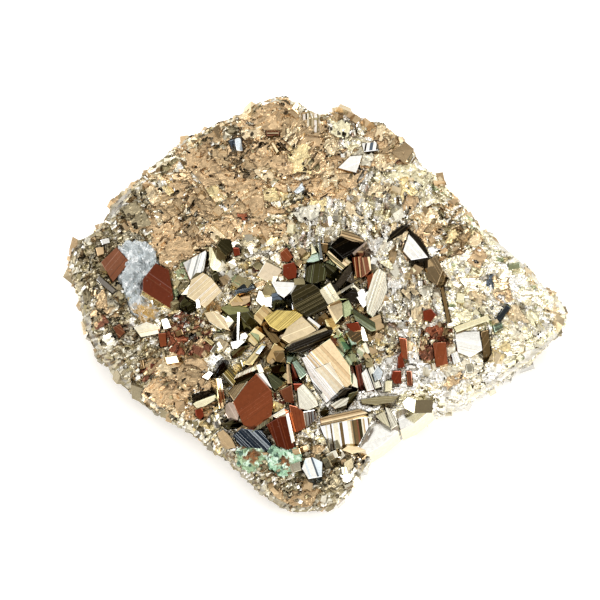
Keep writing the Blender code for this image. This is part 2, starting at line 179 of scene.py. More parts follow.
def massRings():
    # rings from the foot, over the wall and the edge, to the centre of the top, with ledges:
    # each ring point moves by the step of its nearest ledge, walls outward and the top upward
    wall = closedCurve([station[0] for station in mass["stations"]], mass["columns"])
    edge = closedCurve([station[1] for station in mass["stations"]], mass["columns"])
    middle = massCentre * (1, 1, 0)
    foot = (wall * (1, 1, 0) - middle) * mass["footInset"] + middle
    low = (wall * (1, 1, 0) - middle) * (0.5 + 0.5 * mass["footInset"]) + middle
    low[:, 2] = wall[:, 2] * mass["lowRing"]
    swell = (edge - massCentre) * (mass["bulge"], mass["bulge"], 0)
    rings = [foot, low, wall, 0.5 * (wall + edge) + swell, edge]
    (hx, hy), (reachX, reachY), deep = mass["hollow"]
    for share in mass["topRings"]:
        ring = edge + (massCentre - edge) * share
        far = ((ring[:, 0] - hx) / reachX) ** 2 + ((ring[:, 1] - hy) / reachY) ** 2
        ring[:, 2] -= deep * np.exp(-far)
        rings.append(ring)
    everything = np.concatenate(rings[1:])
    ledges = everything[random.choice(len(everything), mass["ledges"], replace=False)]
    steps = random.uniform(-1.0, 1.0, mass["ledges"])
    for count, ring in enumerate(rings[1:], 1):
        nearest = np.argmin(np.linalg.norm(ring[:, None] - ledges[None], axis=2), axis=1)
        step = steps[nearest][:, None]
        if count <= mass["wallRings"]:
            start, length = mass["backRamp"]
            back = np.clip((ring[:, 1:2] - start) / length, 0.0, 1.0)
            outward = (ring - massCentre) * (1, 1, 0)
            outward /= np.linalg.norm(outward, axis=1)[:, None]
            low, high = mass["ledgeStep"]["front"], mass["ledgeStep"]["back"]
            ring += outward * step * (low + (high - low) * back)
        else:
            share = mass["topRings"][count - mass["wallRings"] - 1]
            ring[:, 2:] += step * mass["ledgeStep"]["top"] * (1.0 - share) ** 0.5
    tip = massCentre - (0.0, 0.0, deep)
    return np.stack(rings + [np.repeat(tip[None], mass["columns"], axis=0)])


def gridFaces(rows, columns):
    # quads of a grid that closes on itself across its columns
    row, column = np.meshgrid(np.arange(rows - 1), np.arange(columns), indexing="ij")
    a = (row * columns + column).ravel()
    b = (row * columns + (column + 1) % columns).ravel()
    return np.stack([a, b, b + columns, a + columns], axis=1)


def closedFaces(rows, columns):
    # triangles of a closed grid whose first and last rows are drawn together to one point each:
    # points are the inner rows, then the top point, then the bottom point
    quads = gridFaces(rows - 2, columns)
    ring = np.arange(columns)
    after = (ring + 1) % columns
    top, bottom = (rows - 2) * columns, (rows - 2) * columns + 1
    last = (rows - 3) * columns
    return np.concatenate([
        quads[:, [0, 1, 2]], quads[:, [0, 2, 3]],
        np.stack([last + ring, last + after, np.full(columns, top)], axis=1),
        np.stack([after, ring, np.full(columns, bottom)], axis=1)])


def refine(rings, rows, columns):
    # the coarse grid read in between, straight from point to point, at even lengths of its side
    lengths = np.linalg.norm(np.diff(rings, axis=0), axis=2).mean(axis=1)
    places = np.concatenate([[0.0], np.cumsum(lengths)])
    wanted = np.linspace(0.0, places[-1], rows)
    row = np.clip(np.searchsorted(places, wanted, side="right") - 1, 0, len(places) - 2)
    share = ((wanted - places[row]) / lengths[row])[:, None, None]
    tall = rings[row] * (1 - share) + rings[row + 1] * share
    place = np.arange(columns) * rings.shape[1] / columns
    column = place.astype(int)
    share = (place - column)[None, :, None]
    return tall[:, column] * (1 - share) + tall[:, (column + 1) % rings.shape[1]] * share


def hashed(cells, salt):
    # one random number from 0 to 1 for each whole-number cell
    mixed = cells[..., 0] * 73856093 ^ cells[..., 1] * 19349663 ^ cells[..., 2] * 83492791
    mixed = (mixed ^ (salt * 2654435761)) & 0xFFFFFFFF
    mixed = (mixed ^ (mixed >> 15)) * 2246822519 & 0xFFFFFFFF
    mixed = (mixed ^ (mixed >> 13)) * 3266489917 & 0xFFFFFFFF
    return ((mixed ^ (mixed >> 16)) & 0xFFFFFF) / 0xFFFFFF


blockPlane = (1.6, 1.1)  # how far blocks step up or down, and how steeply their faces lean


def brokenBlocks(points, size, salt):
    # nearest seed by the largest of its three offsets, so cells are boxes; each cell is a
    # tilted plane at its own height. Gives that height from about -1 to 1, and the cell's number
    turned = points @ blockAxes.T / size
    base = np.floor(turned).astype(np.int64)
    best = np.full(len(points), 9.0)
    height = np.zeros(len(points))
    number = np.zeros(len(points))
    for dx in (-1, 0, 1):
        for dy in (-1, 0, 1):
            for dz in (-1, 0, 1):
                cell = base + (dx, dy, dz)
                seed = cell + np.stack([hashed(cell, salt + k) for k in (1, 2, 3)], axis=1)
                offset = turned - seed
                far = np.abs(offset).max(axis=1)
                near = far < best
                slope = np.stack([hashed(cell, salt + k) for k in (4, 5, 6)], axis=1) - 0.5
                plane = (hashed(cell, salt + 7) - 0.5) * blockPlane[0] + (
                    offset * slope).sum(axis=1) * blockPlane[1]
                best = np.where(near, far, best)
                height = np.where(near, plane, height)
                number = np.where(near, hashed(cell, salt + 8), number)
    return height, number


def leaningAxes(turn, lean, tilt):
    # a face that looks along the sight line, tilted towards lean, its first side at turn
    lean, tilt, turn = (np.radians(angle) for angle in (lean, tilt, turn))
    aside = np.multiply.outer(np.cos(lean), right) + np.multiply.outer(np.sin(lean), up)
    normal = (np.multiply.outer(np.cos(tilt), toward) + aside * np.sin(tilt)[..., None])
    first = np.multiply.outer(np.cos(turn), right) + np.multiply.outer(np.sin(turn), up)
    first = first - normal * (first * normal).sum(axis=-1, keepdims=True)
    first /= np.linalg.norm(first, axis=-1, keepdims=True)
    return first, np.cross(normal, first), normal


cleavage = (8.0, 100.0, 16.0)  # turn, lean and tilt of the mass's own cleavage plane
blockAxes = np.stack(leaningAxes(*(np.array(angle) for angle in cleavage)))
coarse = massRings()
coarseFaces = gridFaces(len(coarse), mass["columns"])
coarseSplit = np.concatenate([coarseFaces[:, [0, 1, 2]], coarseFaces[:, [0, 2, 3]]])
coarseTree = BVHTree.FromPolygons([Vector(p) for p in coarse.reshape(-1, 3)],
                                  coarseSplit.tolist())


def seat(u, v):
    # where the line of sight through u, v meets the mass
    ray = aim + right * u + up * v - eye
    return np.array(coarseTree.ray_cast(Vector(eye), Vector(ray))[0])


print("mass laid out")

tones = (  # colours of the faces, as they look under white light: mostly tarnish, but black, shadow, dark, ink and bog are partly painted dark reflection and shade, and white, ice and glare partly painted highlight
    "copper 96583c  red 86402c  brown 7c4f39  umber 6f5a3a  tan ccaf87  sand dbc7a2  "
    "clay b59c77  gold e2ce9b  peach f4dcb2  cream f0e8d0  white edebe4  silver dad5c3  "
    "pale cbc2a6  grey aaa38f  stone b5a98c  pinkish b5a191  olive 8d8260  moss 9aa27c  "
    "teal b4c8b4  slate 56606a  dark 574d38  black 221d16  straw e3dbb8  drab 998d70  "
    "shadow 39331f  ice d6dfe4  mire 645d3e  fern 7b7a50  bog 3b3820  maroon 64301f  "
    "brass cbb46a  ink 1d252f  glare ffffff"
)
toneWords = tones.split()
toneColour = {name: linear(code) for name, code in zip(toneWords[::2], toneWords[1::2])}

groundKinds = {  # each kind of ground: shares of tones for its flat facets, then for its grains,
    # then how much of it is large and small facets, its grains' lean in degrees and height in mm,
    # and the turn in degrees and the stretch of its streaks
    "tanny": ("tan 46 sand 18 clay 24 gold 5 cream 4 brown 2",
        "sand 8 tan 10 clay 12 cream 12 olive 20 umber 11 white 9 dark 5 silver 8 stone 7",
        (0.82, 0.46, 20.0, 0.06, 14.0, 2.6)),
    "silvery": ("silver 26 sand 22 white 26 straw 14 clay 8 brown 4",
        "white 32 cream 14 silver 16 pale 10 straw 6 pinkish 8 olive 6 umber 7 dark 1",
        (0.04, 0.14, 26.0, 0.08, 100.0, 3.6)),
    "straw": ("sand 30 tan 8 cream 28 straw 28 white 6",
        "white 26 cream 27 straw 24 silver 10 pale 8 moss 2 olive 3",
        (0.2, 0.3, 14.0, 0.04, -28.0, 2.4)),
    "faded": ("straw 30 pale 24 moss 10 tan 12 sand 14",
        "pale 24 straw 22 silver 14 cream 12 stone 12 moss 9 olive 7",
        (0.12, 0.24, 18.0, 0.05, -35.0, 2.4)),
    "rusty": ("brown 24 maroon 16 copper 10 clay 30 umber 12 cream 8",
        "brown 20 maroon 12 umber 16 clay 14 cream 8 white 8 dark 10 olive 10 tan 8",
        (0.1, 0.34, 28.0, 0.1, 50.0, 2.4)),
    "drab": ("drab 28 grey 20 clay 26 silver 14 brown 4",
        "drab 20 stone 16 grey 16 silver 10 umber 14 olive 12 white 6 dark 7",
        (0.04, 0.1, 30.0, 0.1, 30.0, 2.2)),
    "shady": ("gold 22 cream 20 white 4 olive 16 clay 16 dark 4 moss 9 maroon 4 silver 7",
        "cream 24 white 26 pale 18 olive 9 dark 2 gold 10 umber 3 silver 14",
        (0.06, 0.36, 38.0, 0.16, 40.0, 2.4)),
    # the whites of the bright look are painted light: the lit walls and the lower right
    "bright": ("white 50 cream 36 straw 10",
        "white 50 cream 26 straw 12 silver 4 olive 6 umber 2",
        (0.55, 0.45, 26.0, 0.08, -20.0, 2.4)),
    # the drab greys of the wall look are partly painted shade: the front walls out of the light
    "wall": ("drab 30 grey 30 clay 16",
        "drab 28 grey 18 stone 14 silver 6 umber 14 olive 14 dark 6",
        (0.1, 0.2, 26.0, 0.07, -35.0, 2.0)),
    "back": ("tan 34 sand 22 clay 20 silver 10 gold 6 drab 8",
        "silver 16 cream 14 stone 16 drab 14 olive 12 white 12 umber 10 dark 6",
        (0.35, 0.3, 36.0, 0.14, 20.0, 1.6)),
}
lookNumbers = ("large", "small", "lean", "height", "turn", "stretch")


def readShares(line):
    # each tone of the line with the number that follows it
    words = line.split()
    return {name: int(share) for name, share in zip(words[::2], words[1::2])}


looks = {name: {"facets": readShares(facets), "grains": readShares(broken),
                **dict(zip(lookNumbers, numbers))}
         for name, (facets, broken, numbers) in groundKinds.items()}
lookNames = list(looks)
zones = {  # parts of the front: middle, reach across and up, then how the ground looks
    "crown": ((-11.0, 26.0), (19.0, 11.0), "tanny"),
    "shoulder": ((-24.0, 17.0), (10.0, 8.0), "tanny"),
    "shoulderRim": ((-34.0, 17.0), (5.0, 9.0), "drab"),
    "crownRight": ((13.0, 28.0), (7.0, 5.0), "tanny"),
    "rightBrow": ((22.0, 13.0), (8.0, 5.0), "tanny"),
    "silverBand": ((11.0, 13.0), (6.0, 13.0), "silvery"),
    "silverMiddle": ((1.0, 15.0), (6.0, 4.0), "silvery"),
    "rightWing": ((34.0, 2.0), (12.0, 10.0), "straw"),
    "columns": ((15.0, -1.0), (6.0, 8.0), "silvery"),
    "leftRim": ((-41.0, 2.0), (6.0, 12.0), "drab"),
    "leftFoot": ((-24.5, -12.5), (6.5, 4.5), "tanny"),
    "rustLeft": ((-23.4, -5.5), (4.8, 4.4), "rusty"),
    "sparkle": ((-17.2, -7.8), (3.4, 4.8), "straw"),
    "rustRim": ((-31.5, -10.5), (3.4, 2.4), "rusty"),
    "rustRight": ((20.5, -8.0), (2.6, 4.6), "rusty"),
    "rightShoulder": ((17.0, 22.5), (4.5, 5.5), "straw"),
    "highShoulder": ((9.5, 27.5), (6.0, 3.2), "straw"),
    "crownGap": ((4.5, 31.5), (5.0, 2.6), "silvery"),
    "crownGrey": ((-16.5, 30.5), (2.6, 2.2), "drab"),
    "shoulderWhite": ((-27.5, 20.5), (3.4, 1.8), "silvery"),
    "crownStreaks": ((-6.5, 19.0), (4.2, 1.8), "shady"),
    "rightRim": ((29.5, 14.0), (6.0, 3.0), "faded"),
    "rimHigh": ((21.0, 21.5), (3.4, 3.6), "faded"),
    "rimLow": ((38.0, 7.0), (5.0, 3.2), "faded"),
    "leftLow": ((-34.0, -8.0), (8.0, 6.0), "drab"),
    "pocketLeft": ((-12.0, -3.0), (13.0, 11.0), "shady"),
    "pocketRight": ((6.0, -4.0), (7.0, 9.0), "shady"),
    # the lower right, given the bright look: painted light
    "bright": ((20.0, -17.0), (17.0, 7.5), "bright"),
    "tip": ((-1.0, -33.0), (9.0, 6.0), "drab"),
}


def lookTable(part, key):
    # one number for each look, or its list of tones as a table of steps and colours
    if part == "number":
        return np.array([looks[name][key] for name in lookNames])
    tables = []
    for name in lookNames:
        shares = np.array(list(looks[name][key].values()), float)
        colours = np.stack([toneColour[tone] for tone in looks[name][key]])
        tables.append((np.cumsum(shares) / shares.sum(), colours))
    return tables


def zoneAt(place):
    # the look of each u, v: that of the zone whose ellipse it is deepest in
    best = np.full(len(place), 9.0)
    look = np.full(len(place), lookNames.index("straw"))
    for middle, reach, name in zones.values():
        far = np.linalg.norm((place - middle) / reach, axis=1)
        look = np.where(far < best, lookNames.index(name), look)
        best = np.minimum(far, best)
    return look


lookSides = {
    "steep": 0.35,  # a face whose normal rises less than this is a wall's
    "wallTo": 12.0,  # walls in front of this y have the wall's look
    "glare": (3.0, 2.0),  # walls right of this x and in front of this y are the bright ones: painted light on the lit side
    "hidden": (0.05, 5.0),  # faces turned this far from the viewer, behind this y, are the back's
}


def looksAt(points, normals):
    # the look of each point: its zone in front, else the wall's or the back's
    look = zoneAt(frontPlace(points))
    steep = normals[:, 2] < lookSides["steep"]
    look = np.where(steep & (points[:, 1] < lookSides["wallTo"]), lookNames.index("wall"), look)
    # lit walls on the right get the bright look, painted light; the other walls get the wall look,
    # partly painted shade
    glare = steep & (points[:, 0] > lookSides["glare"][0]) & (points[:, 1] < lookSides["glare"][1])
    look = np.where(glare, lookNames.index("bright"), look)
    hidden = (normals @ toward < lookSides["hidden"][0]) & (points[:, 1] > lookSides["hidden"][1])
    return np.where(hidden, lookNames.index("back"), look)


def pickTones(look, draw, key):
    # a tone for each point by its look's shares; draw is a number from 0 to 1 each
    colour = np.zeros((len(look), 3))
    for count, (steps, table) in enumerate(lookTable("tones", key)):
        chosen = table[np.clip(np.searchsorted(steps, draw), 0, len(table) - 1)]
        colour = np.where((look == count)[:, None], chosen, colour)
    return colour


def gridNormals(grid):
    # cross product of the steps along and across the grid, whose columns run clockwise
    along = np.gradient(grid, axis=0)
    across = np.roll(grid, -1, axis=1) - np.roll(grid, 1, axis=1)
    normal = np.cross(along, across)
    length = np.linalg.norm(normal, axis=2, keepdims=True)
    return normal / np.maximum(length, 1e-9)


def makeMass():
    # the refined grid, each point moved along its normal by three sizes of broken blocks, and
    # drawn in where it faces the front, because the front's own ground lies over it
    grid = refine(coarse, mass["fineRows"], mass["fineColumns"])
    normals = gridNormals(grid)
    flat = grid.reshape(-1, 3)
    flatNormals = normals.reshape(-1, 3)
    least = mass["leastRough"]
    rough = np.clip((flatNormals[:, 2] + least) / mass["roughSpan"], least, 1.0)
    rough = np.maximum(rough, np.clip(flat[:, 1] / mass["roughBack"], 0.0, 1.0))
    rough *= np.clip(flat[:, 2] / mass["smoothFoot"], 0.0, 1.0)
    moved = np.zeros(len(flat))
    for salt, (size, depth) in enumerate(mass["fineCells"]):
        moved += brokenBlocks(flat, size, 10 * salt)[0] * depth
    start, span = mass["facing"]
    facing = np.clip((flatNormals @ toward - start) / span, 0.0, 1.0)
    moved = moved * rough * (1 - facing) - mass["drawnIn"] * facing
    points = flat + flatNormals * moved[:, None]
    points[:, 2] = np.maximum(points[:, 2], 0.0)
    rows, columns = mass["fineRows"], mass["fineColumns"]
    foot = massCentre * (1, 1, 0)
    points = np.concatenate([points[:(rows - 1) * columns], points[-1:], foot[None]])
    flatNormals = np.concatenate([flatNormals[:(rows - 1) * columns], flatNormals[-1:],
                                  -up[None]])
    faces = closedFaces(rows + 1, columns)
    centres = points[faces].mean(axis=1)
    cross = np.cross(points[faces[:, 1]] - points[faces[:, 0]],
                     points[faces[:, 2]] - points[faces[:, 0]])
    look = looksAt(centres, flatNormals[faces[:, 0]])
    large = brokenBlocks(centres, mass["fineCells"][0][0], 0)[1]
    small = brokenBlocks(centres, mass["fineCells"][2][0], 20)[1]
    isFacet = large < lookTable("number", "large")[look]
    tint = np.where(isFacet[:, None], pickTones(look, (large * 7.3) % 1.0, "facets"),
                    pickTones(look, small, "grains"))
    darkest, span, lift = mass["shades"]
    tint *= (darkest + span * (small * 5.7 % 1.0) * ~isFacet + lift * isFacet)[:, None]
    made = makeMesh("mass", points, faces, tint)
    away, above = mass["behind"]
    behind = (flatNormals[faces[:, 0]] @ toward < away) & (centres[:, 2] > above)
    area = np.linalg.norm(cross, axis=1) * behind
    return made, (centres, flatNormals[faces[:, 0]], area, look)


massPiece, behindSpots = makeMass()
print("mass surface made")


crystalLines = {
    # outline as u,v in tenths of a mm | lean, tilt and rise of its face, its tone | the flank
    # that shows: angle, width, tone | lines on the face: angle, how many bands, or each band's
    # share and tone, then the lines' tone | whose plane it shares, if not its own
    "brownCube": "-371,40 -339,77 -364,105 -393,77 | 150 10 1.9 brown | 235 0.6 gold | 50 5 copper",
    "quartzCube": "-317,25 -267,-7 -261,13 -270,63 -294,76 -317,47 | 59 9 1.9 maroon | 240 1.3 gold"
        "| -35 3 brown",
    "whiteFace": "-232,45 -207,61 -202,94 -204,99 -245,76 | 110 18 1.6 white | 5 0.8 dark "
        "| 75 7 ice",
    "creamWedge": "-196,70 -189,61 -177,61 -173,92 -191,105 -198,105 | 20 22 1.3 straw "
        "| -20 0.5 mire"
        "| 82 3 gold",
    "oliveBlock": "-168,88 -155,97 -160,117 -177,119 -184,108 | 60 26 0.9 mire | -60 0.5 dark"
        "| -40 4 olive",
    "redDot": "-153,88 -142,90 -144,103 -155,103 | 235 9 1 red | -60 0.3 umber | 0 1 red",
    "striatedCube": "-238,16 -204,-5 -175,25 -193,49 -209,59 -231,45 | 100 14 2.6 sand "
        "| -50 1.4 white"
        "| 42 11 glare",
    "edgeChip": "-238,18 -229,32 -232,38 -249,18 | 200 20 1.6 cream | -60 0.3 olive | 40 1 cream",
    "tinyPlate": "-220,-7 -213,-4 -216,11 -222,9 | 200 22 3 white | -60 0.3 tan | 80 1 white",
    "shadeSliver": "-229,43 -213,59 -222,58 -232,45 | 120 24 2 olive | 220 0.3 dark | 40 1 olive",
    "mireBlock": "-189,43 -177,47 -182,58 -195,59 | 70 22 1.2 mire | -60 0.4 dark | 30 2 olive",
    # a low dark sheet in a recess: its dark tone is partly painted shade
    "blackHollow": "-250,-7 -234,-16 -220,-9 -232,7 -241,14 -249,4 | 300 28 0.2 bog | 200 0.3 dark"
        "| 30 6 black",
    "tanSlab": "-198,-29 -178,-41 -159,-47 -182,-9 -207,-14 | 100 14 1.5 sand | 35 0.7 tan "
        "| -50 3 cream",
    "mossRoof": "-162,-18 -123,-14 -128,-5 -162,2 -178,-5 | 100 24 1 fern | -60 0.5 mire "
        "| -8 3 olive",
    # a low dark sheet in a recess: its dark tone is partly painted shade
    "darkHollow": "-141,-47 -110,-47 -103,-43 -123,-11 -162,-18 | -60 28 0.2 bog | -60 0.4 dark"
        "| -50 3 mire",
    "needle": "-148,-65 -145,-65 -143,-13 -147,-13 | 170 22 2.0 white | 0 0.2 pinkish | 90 1 white",
    "blackSliver": "-148,-65 -148,-32 -155,-49 -159,-63 | -60 28 0.6 black | 200 0.2 dark "
        "| 80 1 black",
    "hookTop": "-144,-65 -135,-67 -128,-56 -132,-49 -141,-52 | 200 26 1.5 white | -60 0.3 dark"
        "| 60 1 ice",
    "hookFoot": "-157,-79 -148,-79 -135,-67 -142,-63 -160,-67 | 200 26 1.6 white | -60 0.4 dark"
        "| 20 1 ice",
    "mossChip": "-108,-65 -106,-47 -124,-50 | 80 26 1.1 moss | -60 0.3 mire | 0 1 moss",
    "wavyBlock": "-148,20 -130,22 -114,31 -121,40 -137,38 -151,27 | 60 26 1.2 slate | -80 0.4 tan"
        "| 14 6 ice",
    "tanLedge": "-157,-2 -133,0 -123,7 -124,18 -162,9 | 110 18 1.1 tan | -80 0.5 red | 8 3 clay",
    "triangle": "-74,20 -63,13 -52,22 -38,40 -86,43 | 100 18 2.2 white | -90 0.4 dark | 0 3 cream",
    "mossBlock": "-99,16 -88,16 -76,25 -86,43 -92,45 -103,23 | 120 22 1.8 gold | -90 0.4 olive"
        "| -52 3 moss",
    "whiteBlock": "-114,7 -103,-2 -86,-4 -85,16 -108,27 | 170 26 1.4 white | -90 0.4 mire "
        "| 80 2 ice",
    "slateBlock": "-85,-7 -49,-7 -52,14 -76,22 -85,20 | -80 26 1.6 slate | -90 0.5 black "
        "| 15 4 black",
    "whiteEdge": "-47,-9 -43,-5 -49,18 -52,18 | 10 24 2.4 white | -90 0.3 dark | -80 1 white",
    "darkCube": "-45,-5 -23,-22 18,-4 0,29 -11,38 -40,36 -50,20 | -50 18 2.6 shadow | -80 0.9 umber"
        "| 28 15 olive",
    "beigeBlock": "16,0 38,11 20,41 0,27 | 200 22 3 pale | -60 0.5 olive | -58 4 silver",
    "peachBlock": "29,-34 43,-18 41,5 34,11 14,-2 | 120 14 2.8 peach | -60 0.5 umber | -58 2 sand",
    # a low dark sheet in a recess: its dark tone is partly painted shade
    "umberHollow": "4,-41 25,-36 11,-14 -4,-25 | 235 20 0.5 umber | -60 0.3 dark | 25 3 dark",
    "strawBlock": "-9,-47 4,-41 -4,-27 -27,-25 | 60 22 1.3 olive | -60 0.4 dark | -50 4 straw",
    "bigTanCube": "-52,-70 -4,-45 -31,-20 -58,-41 -68,-59 | 100 14 2.9 sand | 216 0.9 umber "
        "| 22 4 gold",
    "hatchedPart": "-88,-38 -72,-47 -58,-41 -29,-18 -41,-11 -76,-9 -99,-23 | 100 14 2.9 brass"
        "| 216 0.9 umber | 42 12 umber | bigTanCube",
    "leftFlank": "-101,-43 -86,-65 -68,-81 -59,-74 -88,-41 -101,-27 | 190 34 1.5 umber "
        "| 216 0.6 dark"
        "| -50 4 mire",
    "slabEdge": "-49,-72 16,-45 11,-41 -50,-65 -61,-76 | 120 22 3 peach | -70 0.2 cream "
        "| 22 2 cream",
    "slab": "-52,-85 -23,-85 22,-56 25,-47 16,-45 -49,-70 -59,-79 | -70 26 2.4 black "
        "| -70 0.6 shadow"
        "| 22 5 dark",
    "blackCrystal": "45,83 70,95 77,103 68,114 36,123 20,106 | 40 24 2.4 black | -60 0.5 dark"
        "| 28 5 umber",
    "bandedSide": "40,61 58,77 20,106 13,92 | 235 22 1.8 gold | -60 0.5 dark"
        "| -38 3sand,2clay,4peach,1dark,2olive,1dark,2gold,1dark,1cream,1dark dark",
    "bandedTop": "59,115 81,112 79,119 59,133 41,135 38,124 | 70 14 2.2 clay | -80 0.4 dark"
        "| -16 1clay,1dark,2clay,1umber,2tan,1dark,1clay dark",
    "crossBar": "63,90 86,112 85,115 59,94 | 120 24 3 pinkish | -60 0.3 dark | 40 1 pinkish",
    "blackWall": "36,25 65,43 61,79 47,63 25,31 | -20 26 1.4 black | -60 0.4 dark | 60 2 bog",
    "wallLine": "34,18 63,36 61,40 32,22 | 150 20 2.4 cream | -60 0.3 dark | 30 1 white",
    "blackLow": "47,9 59,5 77,4 65,34 36,16 | -60 26 0.9 black | -60 0.4 umber | -8 3 clay",
    "copperPillar": "67,50 77,49 74,88 59,86 | 240 10 2 copper | 250 0.3 dark"
        "| -84 1umber,2peach,3maroon,3copper,1peach,3maroon dark",
    "tanPillar": "77,50 83,54 94,63 92,88 76,86 | 100 16 1.5 brown | -60 0.3 umber"
        "| -80 2peach,4brown,1clay,3brown dark",
    "glassyCube": "-13,38 11,45 14,59 7,77 -7,79 -22,68 -25,43 | 80 18 1.8 bog | -90 0.4 dark"
        "| 82 7 moss",
    "paleRoof": "-11,77 7,83 5,95 -13,92 -23,77 | 80 22 1.9 teal | -90 0.3 dark | 24 4 ice",
    "umberRoof": "5,94 14,92 16,110 2,112 | 235 16 1.3 umber | -60 0.3 dark | 70 3 dark",
    "strawTriangle": "-14,92 -4,95 -14,112 | 100 22 1.6 straw | -60 0.3 mire | 60 1 gold",
    "paleLine": "2,83 7,83 2,114 -2,112 | 30 22 2.6 ice | -60 0.2 mire | 90 1 ice",
    # a low dark sheet in a recess: its dark tone is partly painted shade
    "oliveHollow": "13,50 23,43 38,52 31,67 11,76 | -60 24 0.4 bog | -60 0.3 dark | -40 4 olive",
    "copperRoof": "-68,79 -54,77 -47,86 -58,103 -70,94 | 235 9 1.2 copper | -60 0.3 umber "
        "| -50 3 brown",
    "copperFace": "-65,54 -56,45 -41,49 -40,67 -45,77 -65,72 | 235 9 1.2 red | -60 0.3 umber"
        "| 80 2 copper",
    "tealSlab": "65,-27 94,-47 103,-45 101,-31 70,-11 59,-7 | 60 28 1.6 moss | -60 0.5 dark "
        "| -33 8 ice",
    "greySlab": "103,-45 110,-54 132,-45 126,-25 103,-23 | 80 22 1.3 grey | -60 0.4 dark "
        "| -27 4 silver",
    "copperChip": "59,-49 76,-45 70,-31 47,-34 | 240 9 1.5 red | -60 0.4 clay | 0 1 red",
    "creamStrip": "79,-65 88,-65 81,-41 74,-38 | 180 26 1.6 cream | -60 0.3 dark | -70 1 white",
    "tealChip": "59,-72 68,-70 56,-47 47,-47 | 70 28 1.3 teal | -60 0.3 dark | -60 3 mire",
    "paleCube": "27,-61 34,-63 40,-50 34,-43 25,-49 | 250 22 1.9 straw | -60 0.3 olive | 0 1 cream",
    "umberChip": "-2,-50 20,-41 4,-43 -13,-50 | 120 26 0.8 umber | -60 0.3 dark | 20 2 gold",
    "fibrousPillar": "97,-22 112,0 123,27 121,58 108,67 97,54 86,18 86,-13 | 20 16 1.9 silver"
        "| -60 0.4 pinkish | 72 15 clay",
    "copperStrip": "88,25 97,38 97,58 86,52 | 235 9 1.4 copper | -60 0.3 clay | 0 1 red",
    "peachPart": "49,-150 58,-142 54,-110 20,-61 -14,-83 | 207 13 3.2 peach | 35 0.9 teal "
        "| -47 5 sand",
    "linesPart": "32,-160 49,-150 -14,-83 -23,-92 | 207 13 3.2 cream | 200 0.2 white"
        "| -47 3white,1tan,2peach,1clay,3white,1peach,2tan,1cream,1clay,3cream tan | peachPart",
    "whitePart": "-5,-155 13,-177 32,-160 -23,-92 -31,-95 | 207 13 3.2 glare | 215 0.6 olive"
        "| -52 9 pale | peachPart",
    "innerStep": "34,-157 45,-146 20,-103 -9,-115 | 207 13 3.35 cream | 200 0.15 umber "
        "| -47 7 peach"
        "| peachPart",
    "blackTop": "38,-169 59,-157 58,-150 47,-151 23,-173 | -60 26 1.6 black | -60 0.3 dark "
        "| 35 2 dark",
    "glint": "29,-187 49,-180 54,-166 40,-169 20,-180 | 100 16 1.3 silver | -60 0.3 mire "
        "| 35 4 dark",
    "darkRight": "38,-189 50,-187 67,-169 70,-155 54,-160 | -60 26 1.2 bog | -60 0.4 umber "
        "| 50 4 umber",
    "darkLow": "4,-200 14,-202 18,-191 11,-182 2,-193 | -60 24 1 shadow | -60 0.4 dark | 35 2 moss",
    "bandedRoof": "4,-216 70,-205 88,-195 72,-187 20,-198 2,-204 | 80 20 2.2 clay | -80 0.3 dark"
        "| 12 2clay,1umber,2tan,2peach,1dark,1clay,1umber,1olive dark",
    "stripedCube": "20,-263 70,-254 86,-225 95,-202 72,-204 2,-218 | -98 22 2.4 cream "
        "| -90 0.5 umber"
        "| -82 2straw,1umber,2glare,1clay,1cream,2shadow,1brown,2umber,1dark,1clay,2cream,3glare,"
        "2umber,1glare,3cream,1glare,1umber,2glare,1cream,3glare umber",
    "footBlock": "59,-268 83,-261 68,-254 50,-254 41,-261 | 90 16 1.1 peach | -60 0.2 clay "
        "| 0 1 sand",
    "brightSheet": "85,-268 112,-252 142,-227 103,-209 88,-225 72,-256 | 100 18 0.6 white "
        "| -60 0.2 cream"
        "| 15 3 cream",
    "brightLedge": "74,-189 92,-191 106,-186 90,-177 72,-180 | 0 22 1.1 white | -80 0.3 straw"
        "| 0 1 cream",
    "brightSlope": "146,-225 171,-214 204,-187 182,-180 139,-193 | 100 18 0.5 white | -60 0.2 cream"
        "| 20 3 silver",
    "greyBar": "130,-223 141,-216 126,-186 119,-184 | 100 14 1.3 silver | -60 0.2 umber "
        "| -65 4 umber",
    "greenBar": "115,-213 128,-220 117,-191 101,-200 | 100 16 1.2 pale | -60 0.3 mire | -60 4 moss",
    "smallGoldCube": "155,-187 171,-195 173,-171 160,-166 150,-175 | 190 26 2.2 straw "
        "| -15 0.9 dark"
        "| 80 1 cream",
    "whiteColumn": "85,-155 99,-151 85,-114 76,-123 | 100 16 1.6 white | -60 0.3 pinkish "
        "| -72 5 clay",
    "paleColumn": "101,-151 112,-146 97,-110 88,-114 | 100 18 1.4 silver | -60 0.3 dark "
        "| -72 4 dark",
    "iceBlock": "101,-137 112,-133 115,-121 106,-110 97,-123 | 30 24 1.7 ice | -60 0.3 slate"
        "| -60 3 white",
    "maroonBar": "72,-155 81,-153 76,-106 65,-110 | -60 20 1 maroon | -60 0.3 dark | -80 4 dark",
    "creamKnob": "50,-132 59,-146 70,-150 68,-133 59,-117 50,-119 | 100 18 1.8 cream "
        "| -60 0.3 umber"
        "| -70 2 peach",
    "redBlock": "137,-142 148,-141 148,-119 132,-119 130,-133 | 230 9 1.5 red | -60 0.3 clay"
        "| 60 2 copper",
    "redUpper": "142,-115 155,-112 148,-85 141,-95 | 230 9 1.4 red | -60 0.3 clay | 80 2 copper",
    "copperColumn": "150,-95 160,-99 157,-61 144,-59 | 220 9 1.6 copper | -60 0.3 clay "
        "| -84 3 maroon",
    "copperFoot": "160,-146 168,-146 166,-119 157,-119 | 220 9 1.3 brown | -60 0.3 clay "
        "| -84 3 red",
